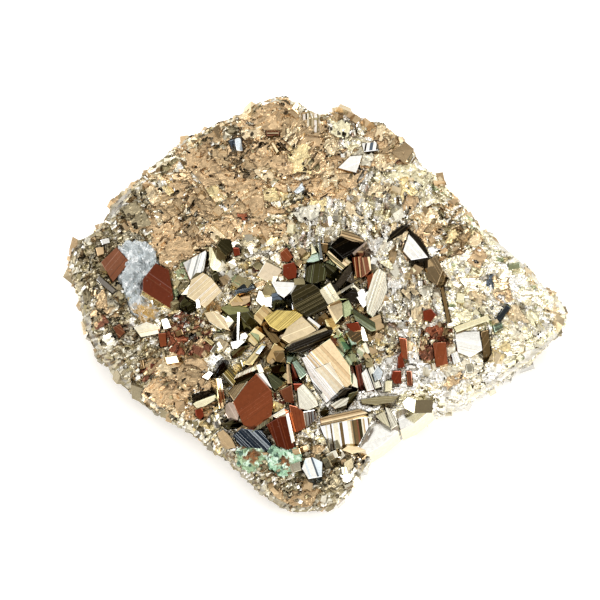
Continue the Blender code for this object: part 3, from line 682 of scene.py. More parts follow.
    "oliveLedge": "77,-177 101,-180 132,-175 144,-164 110,-164 74,-171 | 80 20 1.2 olive "
        "| -80 0.4 dark"
        "| 4 5 pale",
    "copperCube": "-137,-216 -123,-225 -86,-200 -83,-178 -86,-155 -114,-124 -130,-141 -155,-175"
        "| 235 8 2.8 copper | -45 0.5 cream | 36 8 brown",
    "goldShoulder": "-153,-173 -132,-139 -151,-144 -164,-157 | 120 20 2.2 clay | 220 0.5 umber"
        "| 52 4 gold",
    "paleEdge": "-151,-177 -126,-141 -130,-137 -157,-175 | 140 24 2.9 pale | 220 0.2 umber "
        "| 54 2 cream",
    "darkStep": "-142,-146 -123,-132 -115,-119 -142,-128 -151,-139 | 120 28 1.8 shadow "
        "| -60 0.3 dark"
        "| 22 3 umber",
    "serratedEdge": "-114,-117 -117,-110 -148,-124 -153,-133 | 110 22 2.4 cream | -60 0.3 umber"
        "| 70 12 clay",
    "whiteCurve": "-108,-124 -99,-121 -106,-105 -114,-108 | 20 22 2.4 cream | -60 0.2 umber"
        "| -60 2 white",
    "whiteRib": "-90,-153 -85,-150 -101,-121 -110,-124 | 20 22 2.4 white | -60 0.2 umber "
        "| -58 1 white",
    "lowPillar": "-76,-254 -52,-263 -45,-256 -61,-200 -72,-202 -95,-216 | 250 8 2 maroon "
        "| -90 0.4 dark"
        "| -74 5 copper",
    "pillarLine": "-50,-249 -45,-245 -56,-195 -61,-198 | 200 22 2.6 white | -60 0.2 clay "
        "| -78 2 cream",
    "pillarTop": "-61,-175 -45,-178 -50,-144 -72,-155 | 250 9 2.2 brown | -60 0.3 umber "
        "| -82 2 clay",
    "pillarFoot": "-45,-231 -25,-222 -29,-193 -40,-184 -54,-180 | 230 8 2 copper | -60 0.3 clay"
        "| -80 4 red",
    "cornerRed": "-45,-153 -40,-155 -31,-142 -47,-142 | 230 9 1.8 red | -60 0.2 clay | 0 1 red",
    "speckledBlock": "-36,-186 -20,-189 -2,-180 -7,-166 -29,-142 -40,-151 | 100 14 2 silver"
        "| -60 0.4 grey | -50 12 white",
    "stripedChip": "-29,-209 -22,-220 -2,-204 -9,-189 -31,-193 | -30 22 1.6 white | -60 0.3 clay"
        "| -84 2white,1maroon,2ice,1brown,1white,1maroon,2white,1pinkish,2white red",
    "greenBlock": "-85,-126 -74,-139 -58,-135 -63,-106 -86,-110 | -60 28 0.5 bog | -60 0.3 black"
        "| 15 3 mire",
    "paleTriangle": "-86,-146 -79,-153 -59,-142 -85,-124 -94,-126 | 60 22 1.4 moss | -60 0.3 mire"
        "| -40 4 pale",
    "brownCap": "-76,-103 -59,-106 -63,-85 -83,-86 | 235 16 1.4 umber | -60 0.3 dark | 50 3 clay",
    "tanBar": "-58,-142 -49,-141 -54,-106 -59,-106 | 120 18 2.2 tan | 0 0.3 maroon | -84 3 peach",
    "darkBar": "-47,-139 -34,-135 -47,-108 -50,-106 | 235 20 1.2 maroon | -60 0.3 dark "
        "| -78 2 dark",
    "tealCorner": "-58,-103 -52,-105 -41,-85 -58,-85 | 70 26 1.6 teal | -60 0.3 mire | -80 2 ice",
    "tealFace": "-40,-121 -34,-133 -23,-124 -27,-115 -41,-99 -49,-103 | 70 26 1.6 teal "
        "| -60 0.3 mire"
        "| -50 4 pale",
    "longBar": "-121,-108 -95,-72 -103,-68 -135,-106 | 110 20 1.9 gold | -50 0.4 umber "
        "| 48 5 peach",
    "barGlint": "-108,-88 -97,-74 -103,-72 -115,-86 | 110 24 2.5 ice | -60 0.2 umber | 48 1 white",
    "lowerBar": "-142,-130 -114,-110 -110,-101 -121,-108 -148,-126 -151,-133 | 120 20 1.5 clay"
        "| -60 0.3 umber | 30 4 cream",
    "paleWedge": "-137,-112 -124,-103 -141,-99 | 30 24 1.7 straw | -60 0.2 mire | 0 1 cream",
    "darkOlive": "-155,-97 -141,-92 -126,-72 -142,-76 -159,-86 | -60 24 0.8 mire | -60 0.3 dark"
        "| 40 4 bog",
    "stripedBlock": "-155,-148 -146,-130 -162,-112 -177,-126 | 150 24 1.7 brass | -60 0.4 dark"
        "| -48 2olive,1umber,1brass,1mire,1brass,1umber,2brass,1cream,2olive olive",
    "blackWedge": "-186,-132 -177,-126 -164,-115 -171,-101 -182,-110 -191,-128 | -60 28 1.5 black"
        "| -60 0.3 dark | 60 2 slate",
    "sparkle": "-200,-135 -191,-123 -198,-119 -211,-130 | 170 26 1.3 white | -60 0.2 grey "
        "| 30 1 ice",
    "uprightBar": "-180,-187 -173,-187 -168,-175 -177,-132 -186,-132 | 0 24 2 straw | -20 0.3 umber"
        "| -80 1cream,1olive,2straw,1umber,1gold gold",
    "flatBar": "-220,-186 -209,-184 -184,-169 -187,-162 -222,-175 -227,-178 | -70 24 1.7 straw"
        "| 90 0.3 black | 20 3 cream",
    "redChip": "-222,-200 -214,-207 -207,-200 -211,-186 -223,-189 | 240 9 1 red | -60 0.3 clay "
        "| 0 1 red",
    "roundBlock": "-169,-196 -160,-209 -146,-207 -144,-196 -155,-175 -162,-175 -169,-180"
        "| 100 18 1.5 pinkish | -60 0.3 dark | -60 3 stone",
    "prism": "-142,-254 -95,-263 -85,-254 -103,-227 -141,-223 -155,-236 | -120 18 1.6 ink"
        "| -120 0.5 black | -45 17 ice",
    "prismTop": "-164,-225 -146,-223 -135,-214 -157,-207 -175,-216 | -60 22 1.6 shadow "
        "| -60 0.2 dark"
        "| 0 3 mire",
    "tanEnd": "-178,-247 -164,-259 -150,-256 -159,-238 -173,-225 -184,-232 | 200 16 1.2 clay"
        "| -120 0.4 umber | -50 3 tan",
    "fibrousTop": "-77,-204 -59,-200 -54,-191 -63,-186 -86,-200 | 20 20 2.3 cream | -60 0.2 umber"
        "| 30 6 pinkish",
    "serratedLow": "-106,-223 -79,-204 -85,-200 -103,-211 -121,-227 | 60 22 2.2 straw "
        "| -60 0.3 dark"
        "| 80 12 umber",
    "blueFace": "-31,-294 -20,-312 4,-308 5,-283 -13,-274 -25,-276 | 100 17 1.4 ice | -90 0.5 slate"
        "| -70 4ice,1slate,3white,1ice,2white ice",
    "whiteSquare": "249,-85 272,-94 294,-81 290,-47 245,-49 | 100 18 0.9 white | -80 0.3 silver"
        "| -12 7 silver",
    "slateBar": "319,-25 326,-31 346,-5 339,0 | -50 22 1 slate | -60 0.3 umber | 48 3 dark",
    "tealBit": "314,-36 317,-49 333,-41 330,-31 | 60 24 0.8 teal | -60 0.3 mire | 20 3 moss",
    "strawBar": "243,-40 247,-49 310,-27 303,-18 | 100 16 1 straw | -70 0.3 olive | 18 6 gold",
    "greyBit": "303,54 303,34 319,34 319,54 | -50 20 0.6 slate | -60 0.3 umber | 70 3 grey",
    "brownSeam": "218,38 231,-32 238,-31 223,40 | 100 12 0.4 umber | -60 0.3 clay | 80 3 clay",
    # a low dark sheet in a recess: its dark tone is partly painted shade
    "umberPocket": "292,-49 297,-106 312,-99 305,-45 | -60 24 0.3 umber | -60 0.3 dark "
        "| 60 3 olive",
    "pyramid": "166,81 196,86 162,130 151,97 | 100 18 1.2 white | -90 0.5 black | -50 4 ice",
    # low dark sheets in notches: their dark tone is partly painted shade
    "blackNotch": "124,115 151,130 162,142 150,144 132,130 | -60 26 0.5 black | -60 0.3 dark "
        "| 40 2 dark",
    "blackNotchRight": "169,121 196,85 200,86 184,117 162,135 | -60 26 0.5 black | -60 0.3 dark"
        "| -50 2 dark",
    "brownGold": "198,45 213,36 223,63 213,90 187,77 | 140 20 1.3 clay | -60 0.5 umber | -60 5 tan",
    "redKnob": "189,-27 202,-31 211,-18 202,-7 187,-11 | 230 8 1.7 red | -60 0.5 clay | 0 1 red",
    "copperPlate": "211,-112 232,-106 229,-67 205,-68 | 180 8 1.2 copper | -80 0.5 tan | 80 4 red",
    "leftBar": "-321,-59 -288,-52 -285,-40 -310,-31 -333,-41 | -80 24 1.8 cream | -80 0.5 tan"
        "| 12 3 gold",
    "leftChip": "-380,-22 -360,-4 -366,4 -387,-13 | -30 24 1.2 cream | -60 0.4 drab | 40 1 cream",
    "stripedLeft": "-360,-61 -348,-50 -359,-34 -371,-41 | 230 10 1 brown | -60 0.3 clay "
        "| -35 4 tan",
    "copperLeft": "-286,-76 -274,-74 -276,-50 -290,-52 | 230 9 0.9 copper | -60 0.3 clay "
        "| 80 1 copper",
    "whiteStrip": "-371,20 -364,25 -395,52 -400,45 | -40 24 1.1 white | -60 0.3 drab | -45 1 white",
    "tanChip": "-398,88 -386,92 -387,105 -402,103 | 100 14 1.2 tan | -60 0.3 drab | 0 1 tan",
    "paleChip": "-389,108 -375,112 -378,121 -393,117 | 20 24 1.1 white | -60 0.3 drab | 15 1 white",
    "whitePlate": "34,247 67,238 78,270 56,268 | 100 18 0.7 white | -90 0.4 clay | 20 2 ice",
    "topChip": "-34,195 -23,207 -29,218 -47,207 | 100 18 0.8 ice | -90 0.3 black | 30 1 ice",
    "blueChip": "-148,279 -137,277 -141,303 -151,299 | 20 24 1 ice | 180 0.3 slate | 84 2 white",
    "blueShade": "-157,281 -148,279 -151,299 -162,295 | -60 20 0.7 slate | -60 0.2 dark | 84 2 ice",
    "bandedChip": "81,276 106,279 103,295 77,292 | 100 18 0.9 white | -80 0.3 dark"
        "| 80 2white,1black,2white,2slate,2white,1black black",
    "crownBar": "-94,305 -72,306 -72,314 -95,314 | 120 18 1 brown | -80 0.3 dark"
        "| 0 1maroon,1peach,1maroon dark",
    "crownNeedle": "-76,274 -72,277 -83,294 -86,292 | 100 20 1.2 peach | -60 0.2 dark "
        "| -58 1 cream",
    "crownCopper": "-142,146 -124,151 -126,171 -150,168 | 235 8 0.6 copper | -60 0.2 brown "
        "| 0 3 clay",
}
# those that are sheets of the ground, not crystals that stand out of it
sheets = ("topChip", "brightLedge", "crownCopper", "greySlab", "leftChip", "greyBit")
steps = {  # low steps of the mass, all cleaved the same way: u, v, length, width, turn
    "places": [
        (-17.5, 26.5, 8.5, 3.6, 5), (-10.1, 23.8, 6.0, 3.4, 22), (-2.7, 26.1, 6.2, 5.8, -12),
        (4.3, 22.6, 9.0, 2.6, -6), (10.3, 26.1, 7.2, 3.0, 10), (-15.0, 16.9, 6.5, 5.4, 8),
        (-0.2, 17.7, 3.4, 3.2, 0), (16.4, 20.4, 4.8, 5.4, 20), (19.6, 13.2, 6.5, 3.0, -20),
        (-12.3, 29.6, 4.2, 3.6, 10), (-3.2, 33.0, 3.8, 2.6, -10), (11.9, 30.8, 4.2, 2.8, -20),
        (-21.5, 19.6, 5.4, 3.0, 8), (-24.5, -12.6, 5.4, 4.4, -30), (-27.2, 20.7, 3.2, 3.0, 40),
        (-33.0, 15.0, 5.0, 4.0, 35), (29.0, 8.0, 4.0, 3.4, -30), (36.0, -2.0, 5.5, 4.0, 15),
        (-25.5, 13.5, 4.5, 3.2, 20), (24.5, -14.0, 5.0, 3.4, 20), (33.0, -8.5, 5.2, 3.2, 18),
    ],
    "lean": 100.0, "tilt": 16.0, "rise": 0.9,
    "worn": 0.35,  # how much lower the worn facets of the ground are
}
families = {  # small crystals: middle, reach, count, sides, then turn, lean, tilt and rise
    "places": [
        ((-12.0, -2.0), (11.0, 9.0), 14, (2.4, 4.4), (-40, 215, 15, 1.0)),
        ((10.0, 0.0), (9.0, 8.0), 14, (2.4, 4.2), (28, 60, 26, 1.0)),
        ((-12.0, 20.0), (15.0, 9.0), 9, (2.6, 5.0), (8, 100, 16, 0.8)),
        ((-28.0, 17.0), (6.0, 6.0), 6, (2.8, 4.6), (30, 100, 16, 0.8)),
        ((-1.0, 29.0), (11.0, 5.0), 6, (2.8, 5.0), (-8, 100, 16, 0.8)),
        ((14.0, 18.0), (10.0, 9.0), 8, (2.6, 4.6), (-15, 100, 18, 0.8)),
        ((-38.0, -1.5), (2.6, 7.0), 5, (2.2, 3.4), (20, 230, 18, 0.8)),
        ((30.0, -2.0), (8.0, 7.0), 8, (2.6, 4.4), (5, -60, 24, 0.9)),
    ],
    "stray": {"turn": 12.0, "lean": 40.0, "tilt": 6.0, "rise": 0.3},
    "goldenAngle": 137.5,
    "flank": (-110, 0), "reach": (0.2, 0.6),  # which way in degrees and how far flanks are drawn
    "bands": (1, 6),  # how many growth bands
}
backRocks = {  # blocks sunk in the back wall, as in the solid
    "count": 26, "sides": (5.0, 10.0), "arc": (1.5, 12), "share": (-0.3, 0.75),
    "rise": (-1.4, 0.1), "tallWall": 18.0, "drawnIn": 0.5,
    "stray": (0.3, 0.4),  # how far a block turns from the wall's way, and round it
    "bands": (2, 7),  # how many growth bands
}
infill = {  # smaller crystals between those: middle, reach, amount, then turn, lean, tilt
    "places": [
        ((-11.5, -0.5), (11.0, 9.0), 42, (-40, 110, 20)),
        ((-10.0, -16.0), (12.0, 9.0), 36, (35, 120, 18)),
        ((5.0, -3.0), (7.0, 9.0), 36, (28, 60, 20)),
        ((8.0, -14.0), (9.0, 5.0), 22, (-10, 90, 20)),
        ((-3.0, -26.0), (9.0, 6.0), 18, (10, 200, 18)),
        ((-30.0, -3.0), (9.0, 9.0), 12, (12, 230, 16)),
        ((22.0, -4.0), (7.0, 9.0), 10, (5, 60, 20)),
    ],
    "sides": (0.8, 2.4), "rise": (0.3, 1.1), "clear": 0.35,
    "within": 0.9,  # how much of the reach is filled
    "unequal": 1.6,  # power that makes small sides commoner than large ones
    "apart": 0.25,  # more clearance from the table's crystals, as a share of the mean side
    "stray": {"turn": (-14, 14), "lean": (-50, 50), "tilt": (-8, 10)},
    "flank": (-110, 0), "reach": (0.1, 0.4), "bands": (1, 5),
}
crystalCut = {
    "chamfer": 0.09, "stripeStep": 0.04, "stripeTilt": 0.05, "rows": 3,
    "line": (0.04, 0.13),  # widths of the fine lines between growth bands
    "chip": (0.30, 0.12, 0.30),  # how often a corner is chipped, least and most of a side it takes
    "fade": 0.16,  # how much a face's tone drifts from end to end: a painted reflection gradient
    "bare": 0.5,  # how far below the ground a flank is drawn aside
    "corner": (0.82, 1.0),  # how far a box's corners are drawn in
    "bandTone": (0.92, 1.06),  # how much the tone of a given band varies
    "growthTone": (0.93, 1.05),  # and that of a growth band
    "paintedHighlightLines": 0.45,  # how many of the fine lines are painted highlights
    "paintedHighlightLift": (1.35, 0.06),  # how much those painted highlights are lifted: a factor and an addition
    "darker": (0.7, 0.3),  # shares of the lines' tone and the face's in the others
    "riser": 0.012,  # the lean of the riser between two bands
    "edge": (1.35, 0.03),  # how much a face's rim is lifted: a painted highlight on its chamfer
    "flank": (0.8, 0.3),  # a flank's painted shade, and how much lighter where it faces its own way
    "elsewhere": 0.7,  # the painted shade of the other sides
    "facing": 0.2,  # sides turned the flank's way by more than this have its tone
    "narrow": 0.10,  # the chamfer on a narrow face, as a share of its width
    "bandWidth": (0.3, 2.0),  # the narrowest growth band and the range above it
    "mostLine": 0.3,  # the widest fine line, as a share of a band
    "least": 0.02, "inset": 0.25,  # smallest width of a row, and most of it that is chamfer
    "leastRise": 0.3,  # rise in mm under which a flank is drawn no further aside
}


def readCrystal(line):
    # a crystal's line as its outline in mm, its plane, its tone, its flank and its lines
    outline, plane, flank, rules, *holder = [part.split() for part in line.split("|")]
    corners = np.array([spot.split(",") for spot in outline], float) / 10.0
    bands = rules[1]
    bands = int(bands) if bands.isdigit() else [(int(b[0]), b[1:]) for b in bands.split(",")]
    return (corners, *(float(value) for value in plane[:3]), plane[3],
            (float(flank[0]), float(flank[1]), flank[2]), (float(rules[0]), bands, rules[2]),
            *(part[0] for part in holder))


crystals = {name: readCrystal(line) for name, line in crystalLines.items()}


def boxCorners(u, v, length, width, turn, own):
    # a box's corners, one of them sometimes chipped to two, each drawn in a little
    c, s = math.cos(math.radians(turn)), math.sin(math.radians(turn))
    often, least, most = crystalCut["chip"]
    corners = np.array([(-1, -1), (1, -1), (1, 1), (-1, 1)]) * (length, width) * 0.5
    corners = corners * own.uniform(*crystalCut["corner"], (4, 1))
    if own.uniform() < often:
        spot = int(own.integers(0, 4))
        before, after = corners[spot - 1], corners[(spot + 1) % 4]
        share = own.uniform(least, most, 2)
        chipped = np.stack([corners[spot] + (before - corners[spot]) * share[0],
                            corners[spot] + (after - corners[spot]) * share[1]])
        corners = np.concatenate([corners[:spot], chipped, corners[spot + 1:]])
    return corners @ np.array([(c, s), (-s, c)]) + (u, v)


def facePlane(entry):
    # a face's middle in u and v, its depth there, its slopes, and its axes: along its first,
    # which runs across its lines, its second, and its normal
    holder = crystals[entry[7]] if len(entry) > 7 else entry
    middle = holder[0].mean(axis=0)
    axes = leaningAxes(np.array(entry[6][0] - 90.0), np.array(float(holder[1])),
                       np.array(float(holder[2])))
    high = (seat(*middle) - aim) @ toward + entry[3]
    normal = axes[2]
    return middle, high, -np.array([normal @ right, normal @ up]) / (normal @ toward), axes


def onPlane(place, middle, slope, axes):
    # x and y on a face's own axes of each u, v
    du, dv = place[..., 0] - middle[0], place[..., 1] - middle[1]
    offset = np.stack([du, dv, slope[0] * du + slope[1] * dv], axis=-1)
    offset = offset @ np.stack([right, up, toward])
    return np.stack([offset @ axes[0], offset @ axes[1]], axis=-1)


def beyond(spots, corners):
    # how far each x, y is outside a convex outline: the most of its distances past its sides
    step = np.roll(corners, -1, axis=0) - corners
    outward = np.stack([step[:, 1], -step[:, 0]], axis=1)
    outward /= np.linalg.norm(outward, axis=1, keepdims=True)
    return (spots @ outward.T - (corners * outward).sum(axis=1)).max(axis=-1)


def bandProfile(low, high, tone, lines, own):
    # heights and tones across a face: growth bands, each a little stepped and leaned, with
    # fine lines between them, some lifted as painted highlights, or bands of the given shares
    # and tones
    bands, lineTone = lines[1:]
    cut = min(crystalCut["chamfer"], crystalCut["narrow"] * (high - low))
    room = high - low - 2 * cut
    if isinstance(bands, list):
        wide = np.array([share for share, _ in bands], float)
        base = np.stack([toneColour[name] for _, name in bands])
        base = base * own.uniform(*crystalCut["bandTone"], (len(bands), 1))
    else:
        least, span = crystalCut["bandWidth"]
        wide = least + span * own.uniform(0.0, 1.0, bands) ** 2
        fine = np.minimum(own.uniform(*crystalCut["line"], bands),
                          crystalCut["mostLine"] * room / bands)
        wide *= (room - fine[1:].sum()) / wide.sum()
        wide = np.stack([wide, fine], axis=1).ravel()[:-1]
        base = np.tile(toneColour[tone], (len(wide), 1))
        base = base * own.uniform(*crystalCut["growthTone"], (len(wide), 1))
        # some fine lines are lifted copies of the face's tone, painted highlights; the others lean
        # to the lines' tone
        bright = own.uniform(0, 1, (len(wide), 1)) < crystalCut["paintedHighlightLines"]
        (factor, more), (ofLine, ofFace) = crystalCut["paintedHighlightLift"], crystalCut["darker"]
        mark = np.where(bright, np.clip(toneColour[tone] * factor + more, 0, mostTint),
                        toneColour[lineTone] * ofLine + toneColour[tone] * ofFace)
        base[1::2] = mark[1::2]
    edges = low + cut + np.concatenate([[0.0], np.cumsum(wide)]) * room / wide.sum()
    count = len(wide)
    level = own.uniform(-1.0, 1.0, count) * crystalCut["stripeStep"] * (count > 1)
    slope = own.uniform(-1.0, 1.0, count) * crystalCut["stripeTilt"] * (count > 1)
    x = np.repeat(edges, 2)[1:-1]
    height = np.repeat(level, 2) + np.stack([-slope, slope], axis=1).ravel() * np.repeat(
        np.diff(edges), 2) * 0.5
    x[2::2] += crystalCut["riser"]
    x = np.concatenate([[low], x, [high]])
    return x, np.concatenate([[-cut], height, [-cut]]), edges, base, cut


def crystalArrays(centre, axes, corners, depth, rise, tone, side, lines, own):
    # a prism lofted across its lines: at each x its straight sides give the lowest and highest
    # y; its face is stepped by its bands, with a chamfer round it, and its foot is drawn aside
    first, second, normal = axes
    low, high = corners[:, 0].min(), corners[:, 0].max()
    x, height, edges, base, cut = bandProfile(low, high, tone, lines, own)
    spots = np.unique(np.concatenate([x, corners[:, 0]]))
    spots = spots[np.concatenate([[True], np.diff(spots) > 1e-3])]
    height = np.interp(spots, x, height)
    step = np.roll(corners, -1, axis=0) - corners
    run = np.where(np.abs(step[:, 0]) < 1e-3, 1e-3, step[:, 0])
    lower, upper = step[:, 0] > 1e-3, step[:, 0] < -1e-3
    lean = step[:, 1] / run
    line = corners[:, 1:] + (spots - corners[:, :1]) * lean[:, None]
    least = np.where(lower[:, None], line, -99.0).max(axis=0)
    most = np.where(upper[:, None], line, 99.0).min(axis=0)
    most = np.maximum(most, least + crystalCut["least"])
    lowLean = lean[np.where(lower[:, None], line, -99.0).argmax(axis=0)][:-1]
    highLean = lean[np.where(upper[:, None], line, 99.0).argmin(axis=0)][:-1]
    n, m = len(spots), crystalCut["rows"] + 1
    inset = np.minimum(cut, (most - least) * crystalCut["inset"])
    share = np.linspace(0.0, 1.0, m)[:, None]
    along = (least + inset) * (1 - share) + (most - inset) * share
    along = np.concatenate([least[None], along, most[None]])
    m += 1
    drop = np.zeros(m + 1)
    drop[[0, -1]] = cut
    flat = centre + first * spots[None, :, None] + second * along[:, :, None]
    angle, width, sideTone = side
    aside = right * math.cos(math.radians(angle)) + up * math.sin(math.radians(angle))
    aside = aside * width * depth / (max(rise, crystalCut["leastRise"]) + crystalCut["bare"])
    outer = flat + normal * (height[None, :] - drop[:, None])[:, :, None]
    points = np.concatenate([outer.reshape(-1, 3), (flat + aside - normal * depth).reshape(-1, 3)])
    k, t = np.meshgrid(np.arange(n - 1), np.arange(m))
    k, t = k.ravel(), t.ravel()
    deep = (m + 1) * n
    topFaces = np.stack([t * n + k, t * n + k + 1, (t + 1) * n + k + 1, (t + 1) * n + k], axis=1)
    k1, t1 = np.arange(n - 1), np.arange(m)
    nearEnd = np.stack([k1 + deep, k1 + 1 + deep, k1 + 1, k1], axis=1)
    farEnd = np.stack([m * n + k1, m * n + k1 + 1, m * n + k1 + 1 + deep, m * n + k1 + deep],
                      axis=1)
    leftSide = np.stack([t1 * n, (t1 + 1) * n, (t1 + 1) * n + deep, t1 * n + deep], axis=1)
    rightSide = np.stack([t1 * n + n - 1 + deep, (t1 + 1) * n + n - 1 + deep,
                          (t1 + 1) * n + n - 1, t1 * n + n - 1], axis=1)
    faces = np.concatenate([topFaces, topFaces[:, ::-1] + deep, nearEnd, farEnd, leftSide,
                            rightSide])
    # each side's outward way, set against the way the foot is drawn, picks its tone and its painted
    # shade
    ways = np.concatenate([
        np.tile((0.0, 1.0), (len(topFaces), 1)),
        np.stack([lowLean, -np.ones(n - 1)], axis=1), np.stack([-highLean, np.ones(n - 1)], axis=1),
        np.tile((-1.0, 0.0), (m, 1)), np.tile((1.0, 0.0), (m, 1))])
    ways /= np.linalg.norm(ways, axis=1, keepdims=True)
    ways = ways[:, :1] * first + ways[:, 1:] * second
    alike = ways @ (aside / max(np.linalg.norm(aside), 1e-6))
    shade, more = crystalCut["flank"]
    tint = np.where(alike[:, None] > crystalCut["facing"],
                    toneColour[sideTone] * (shade + more * alike[:, None]),
                    toneColour[tone] * crystalCut["elsewhere"])
    middles = 0.5 * (spots[k] + spots[k + 1])
    band = np.clip(np.searchsorted(edges, middles) - 1, 0, len(base) - 1)
    onBand = (middles > low + cut) & (middles < high - cut) & (t > 0) & (t < m - 1)
    # a painted reflection gradient across the face, along and across its lines
    fade = 1.0 + own.uniform(-1, 1) * crystalCut["fade"] * (t / m - 0.5) * 2
    fade += own.uniform(-1, 1) * crystalCut["fade"] * ((middles - low) / (high - low) - 0.5) * 2
    # the chamfer round the face gets a painted highlight, a lifted copy of its tone
    factor, more = crystalCut["edge"]
    edge = np.clip(toneColour[tone] * factor + more, 0, mostTint)
    topTint = np.where(onBand[:, None], base[band] * fade[:, None], edge)
    return points, faces, np.concatenate([topTint, tint])


def joinArrays(parts):
    # many small arrays into one, with their faces renumbered
    counts = np.cumsum([0] + [len(points) for points, _, _ in parts[:-1]])
    return (np.concatenate([points for points, _, _ in parts]),
            np.concatenate([faces + start for (_, faces, _), start in zip(parts, counts)]),
            np.concatenate([tint for _, _, tint in parts]))


def frontCrystal(entry, own, depth=4.5):
    # an outline laid on its own tilted plane in the front
    middle, high, slope, axes = facePlane(entry)
    corners = onPlane(entry[0], middle, slope, axes)
    centre = frontPoint(middle[0], middle[1], high)
    return crystalArrays(centre, axes, corners, depth, *entry[3:7], own)


def stepEntries():
    # low steps in the cleavage plane, then the small crystals of each family, then infill:
    # those in the pocket stay crystals, and the others are raised facets of the ground
    own = np.random.default_rng(22)
    whole, raised = [], []
    for u, v, length, width, turn in steps["places"]:
        face = own.choice(["tan", "sand", "gold", "clay"])
        raised.append((boxCorners(u, v, length, width, turn, own), steps["lean"], steps["tilt"],
                       steps["rise"] - steps["worn"], face, (0, 0.0, "clay"), (turn, 4, "clay")))

    def drawn(u, v):
        look = lookNames[zoneAt(np.array([[u, v]]))[0]]
        shares = np.array(list(looks[look]["facets"].values()), float)
        return look, own.choice(list(looks[look]["facets"]), 3, p=shares / shares.sum())

    for middle, reach, amount, sides, (turn, lean, tilt, rise) in families["places"]:
        for count in range(amount):
            far = math.sqrt((count + 0.5) / amount)
            angle = math.radians(count * families["goldenAngle"])
            u = middle[0] + reach[0] * far * math.cos(angle)
            v = middle[1] + reach[1] * far * math.sin(angle)
            stray = random.uniform(-1.0, 1.0, 4)
            swing = families["stray"]
            turned = turn + stray[0] * swing["turn"]
            plane = (lean + stray[1] * swing["lean"], tilt + stray[2] * swing["tilt"])
            side = random.uniform(*sides, 2)
            look, (face, flank, band) = drawn(u, v)
            high = rise + stray[3] * swing["rise"]
            corners = boxCorners(u, v, *side, turned, own)
            if look == "shady":
                whole.append((corners, *plane, high, face,
                              (float(own.uniform(*families["flank"])),
                               float(own.uniform(*families["reach"])), flank),
                              (turned, int(own.integers(*families["bands"])), band)))
            else:
                raised.append((corners, *plane, high - steps["worn"], face, (0, 0.0, flank),
                               (turned, 1, band)))
    outlines = [entry[0] for entry in crystals.values()]
    for middle, reach, amount, (turn, lean, tilt) in infill["places"]:
        for count in range(amount):
            place = np.array(middle) + np.array(reach) * own.uniform(-1, 1, 2) * infill["within"]
            side = infill["sides"][0] + (infill["sides"][1] - infill["sides"][0]) * (
                own.uniform(0, 1, 2) ** infill["unequal"])
            stray = infill["stray"]
            turned = turn + own.uniform(*stray["turn"]) + 90 * own.integers(0, 2)
            plane = (lean + own.uniform(*stray["lean"]), tilt + own.uniform(*stray["tilt"]))
            look, (face, flank, band) = drawn(*place)
            face = "maroon" if face == "copper" else face
            nearest = min(float(beyond(place, corners)) for corners in outlines)
            if nearest < infill["clear"] + infill["apart"] * side.mean():
                continue
            whole.append((boxCorners(*place, *side, turned, own), *plane,
                          float(own.uniform(*infill["rise"])), face,
                          (float(own.uniform(*infill["flank"])),
                           float(own.uniform(*infill["reach"])), flank),
                          (turned, int(own.integers(*infill["bands"])), band)))
    return whole, raised


wholeEntries, raisedEntries = stepEntries()
raisedEntries += [crystals[name] for name in sheets]


def makeCrystals():
    # every crystal of the table that isn't a sheet, joined into one piece
    own = np.random.default_rng(21)
    return makeMesh("cubes", *joinArrays([frontCrystal(entry, own)
                                          for name, entry in crystals.items()
                                          if name not in sheets]))


def makeSmallCrystals():
    # the small crystals of the families and the infill, joined into one piece
    own = np.random.default_rng(24)
    return makeMesh("smallCrystals", *joinArrays([frontCrystal(entry, own)
                                                  for entry in wholeEntries]))


def makeBackRocks():
    # blocks half sunk in the back wall, between its widest ring and its edge
    own = np.random.default_rng(23)
    wall = closedCurve([station[0] for station in mass["stations"]], mass["columns"])
    edge = closedCurve([station[1] for station in mass["stations"]], mass["columns"])
    first, last = (round(place * mass["columns"] / len(mass["stations"]))
                   for place in backRocks["arc"])
    outStray, sideStray = backRocks["stray"]
    parts = []
    for count in range(backRocks["count"]):
        column = first + round((last - first) * (count + 0.5) / backRocks["count"])
        rise = edge[column] - wall[column]
        centre = wall[column] + rise * random.uniform(*backRocks["share"]) * min(
            1, rise[2] / backRocks["tallWall"])
        outward = (wall[column] - massCentre) * (1, 1, 0)
        outward /= np.linalg.norm(outward)
        outward = outward + random.uniform(-outStray, outStray, 3)
        outward /= np.linalg.norm(outward)
        side = np.cross((0, 0, 1), outward) + random.uniform(-sideStray, sideStray, 3)
        side -= outward * (side @ outward)
        side /= np.linalg.norm(side)
        sides = random.uniform(*backRocks["sides"], 2)
        face = centre + outward * (random.uniform(*backRocks["rise"]) - backRocks["drawnIn"])
        parts.append(crystalArrays(
            face, (side, np.cross(outward, side), outward),
            boxCorners(0.0, 0.0, *sides, 0.0, own), backRocks["sides"][0], 1.0,
            own.choice(["tan", "clay", "drab"]), (0, 0.0, "clay"),
            (0, int(own.integers(*backRocks["bands"])), own.choice(["gold", "umber", "tan"])), own))
    return makeMesh("backRocks", *joinArrays(parts))


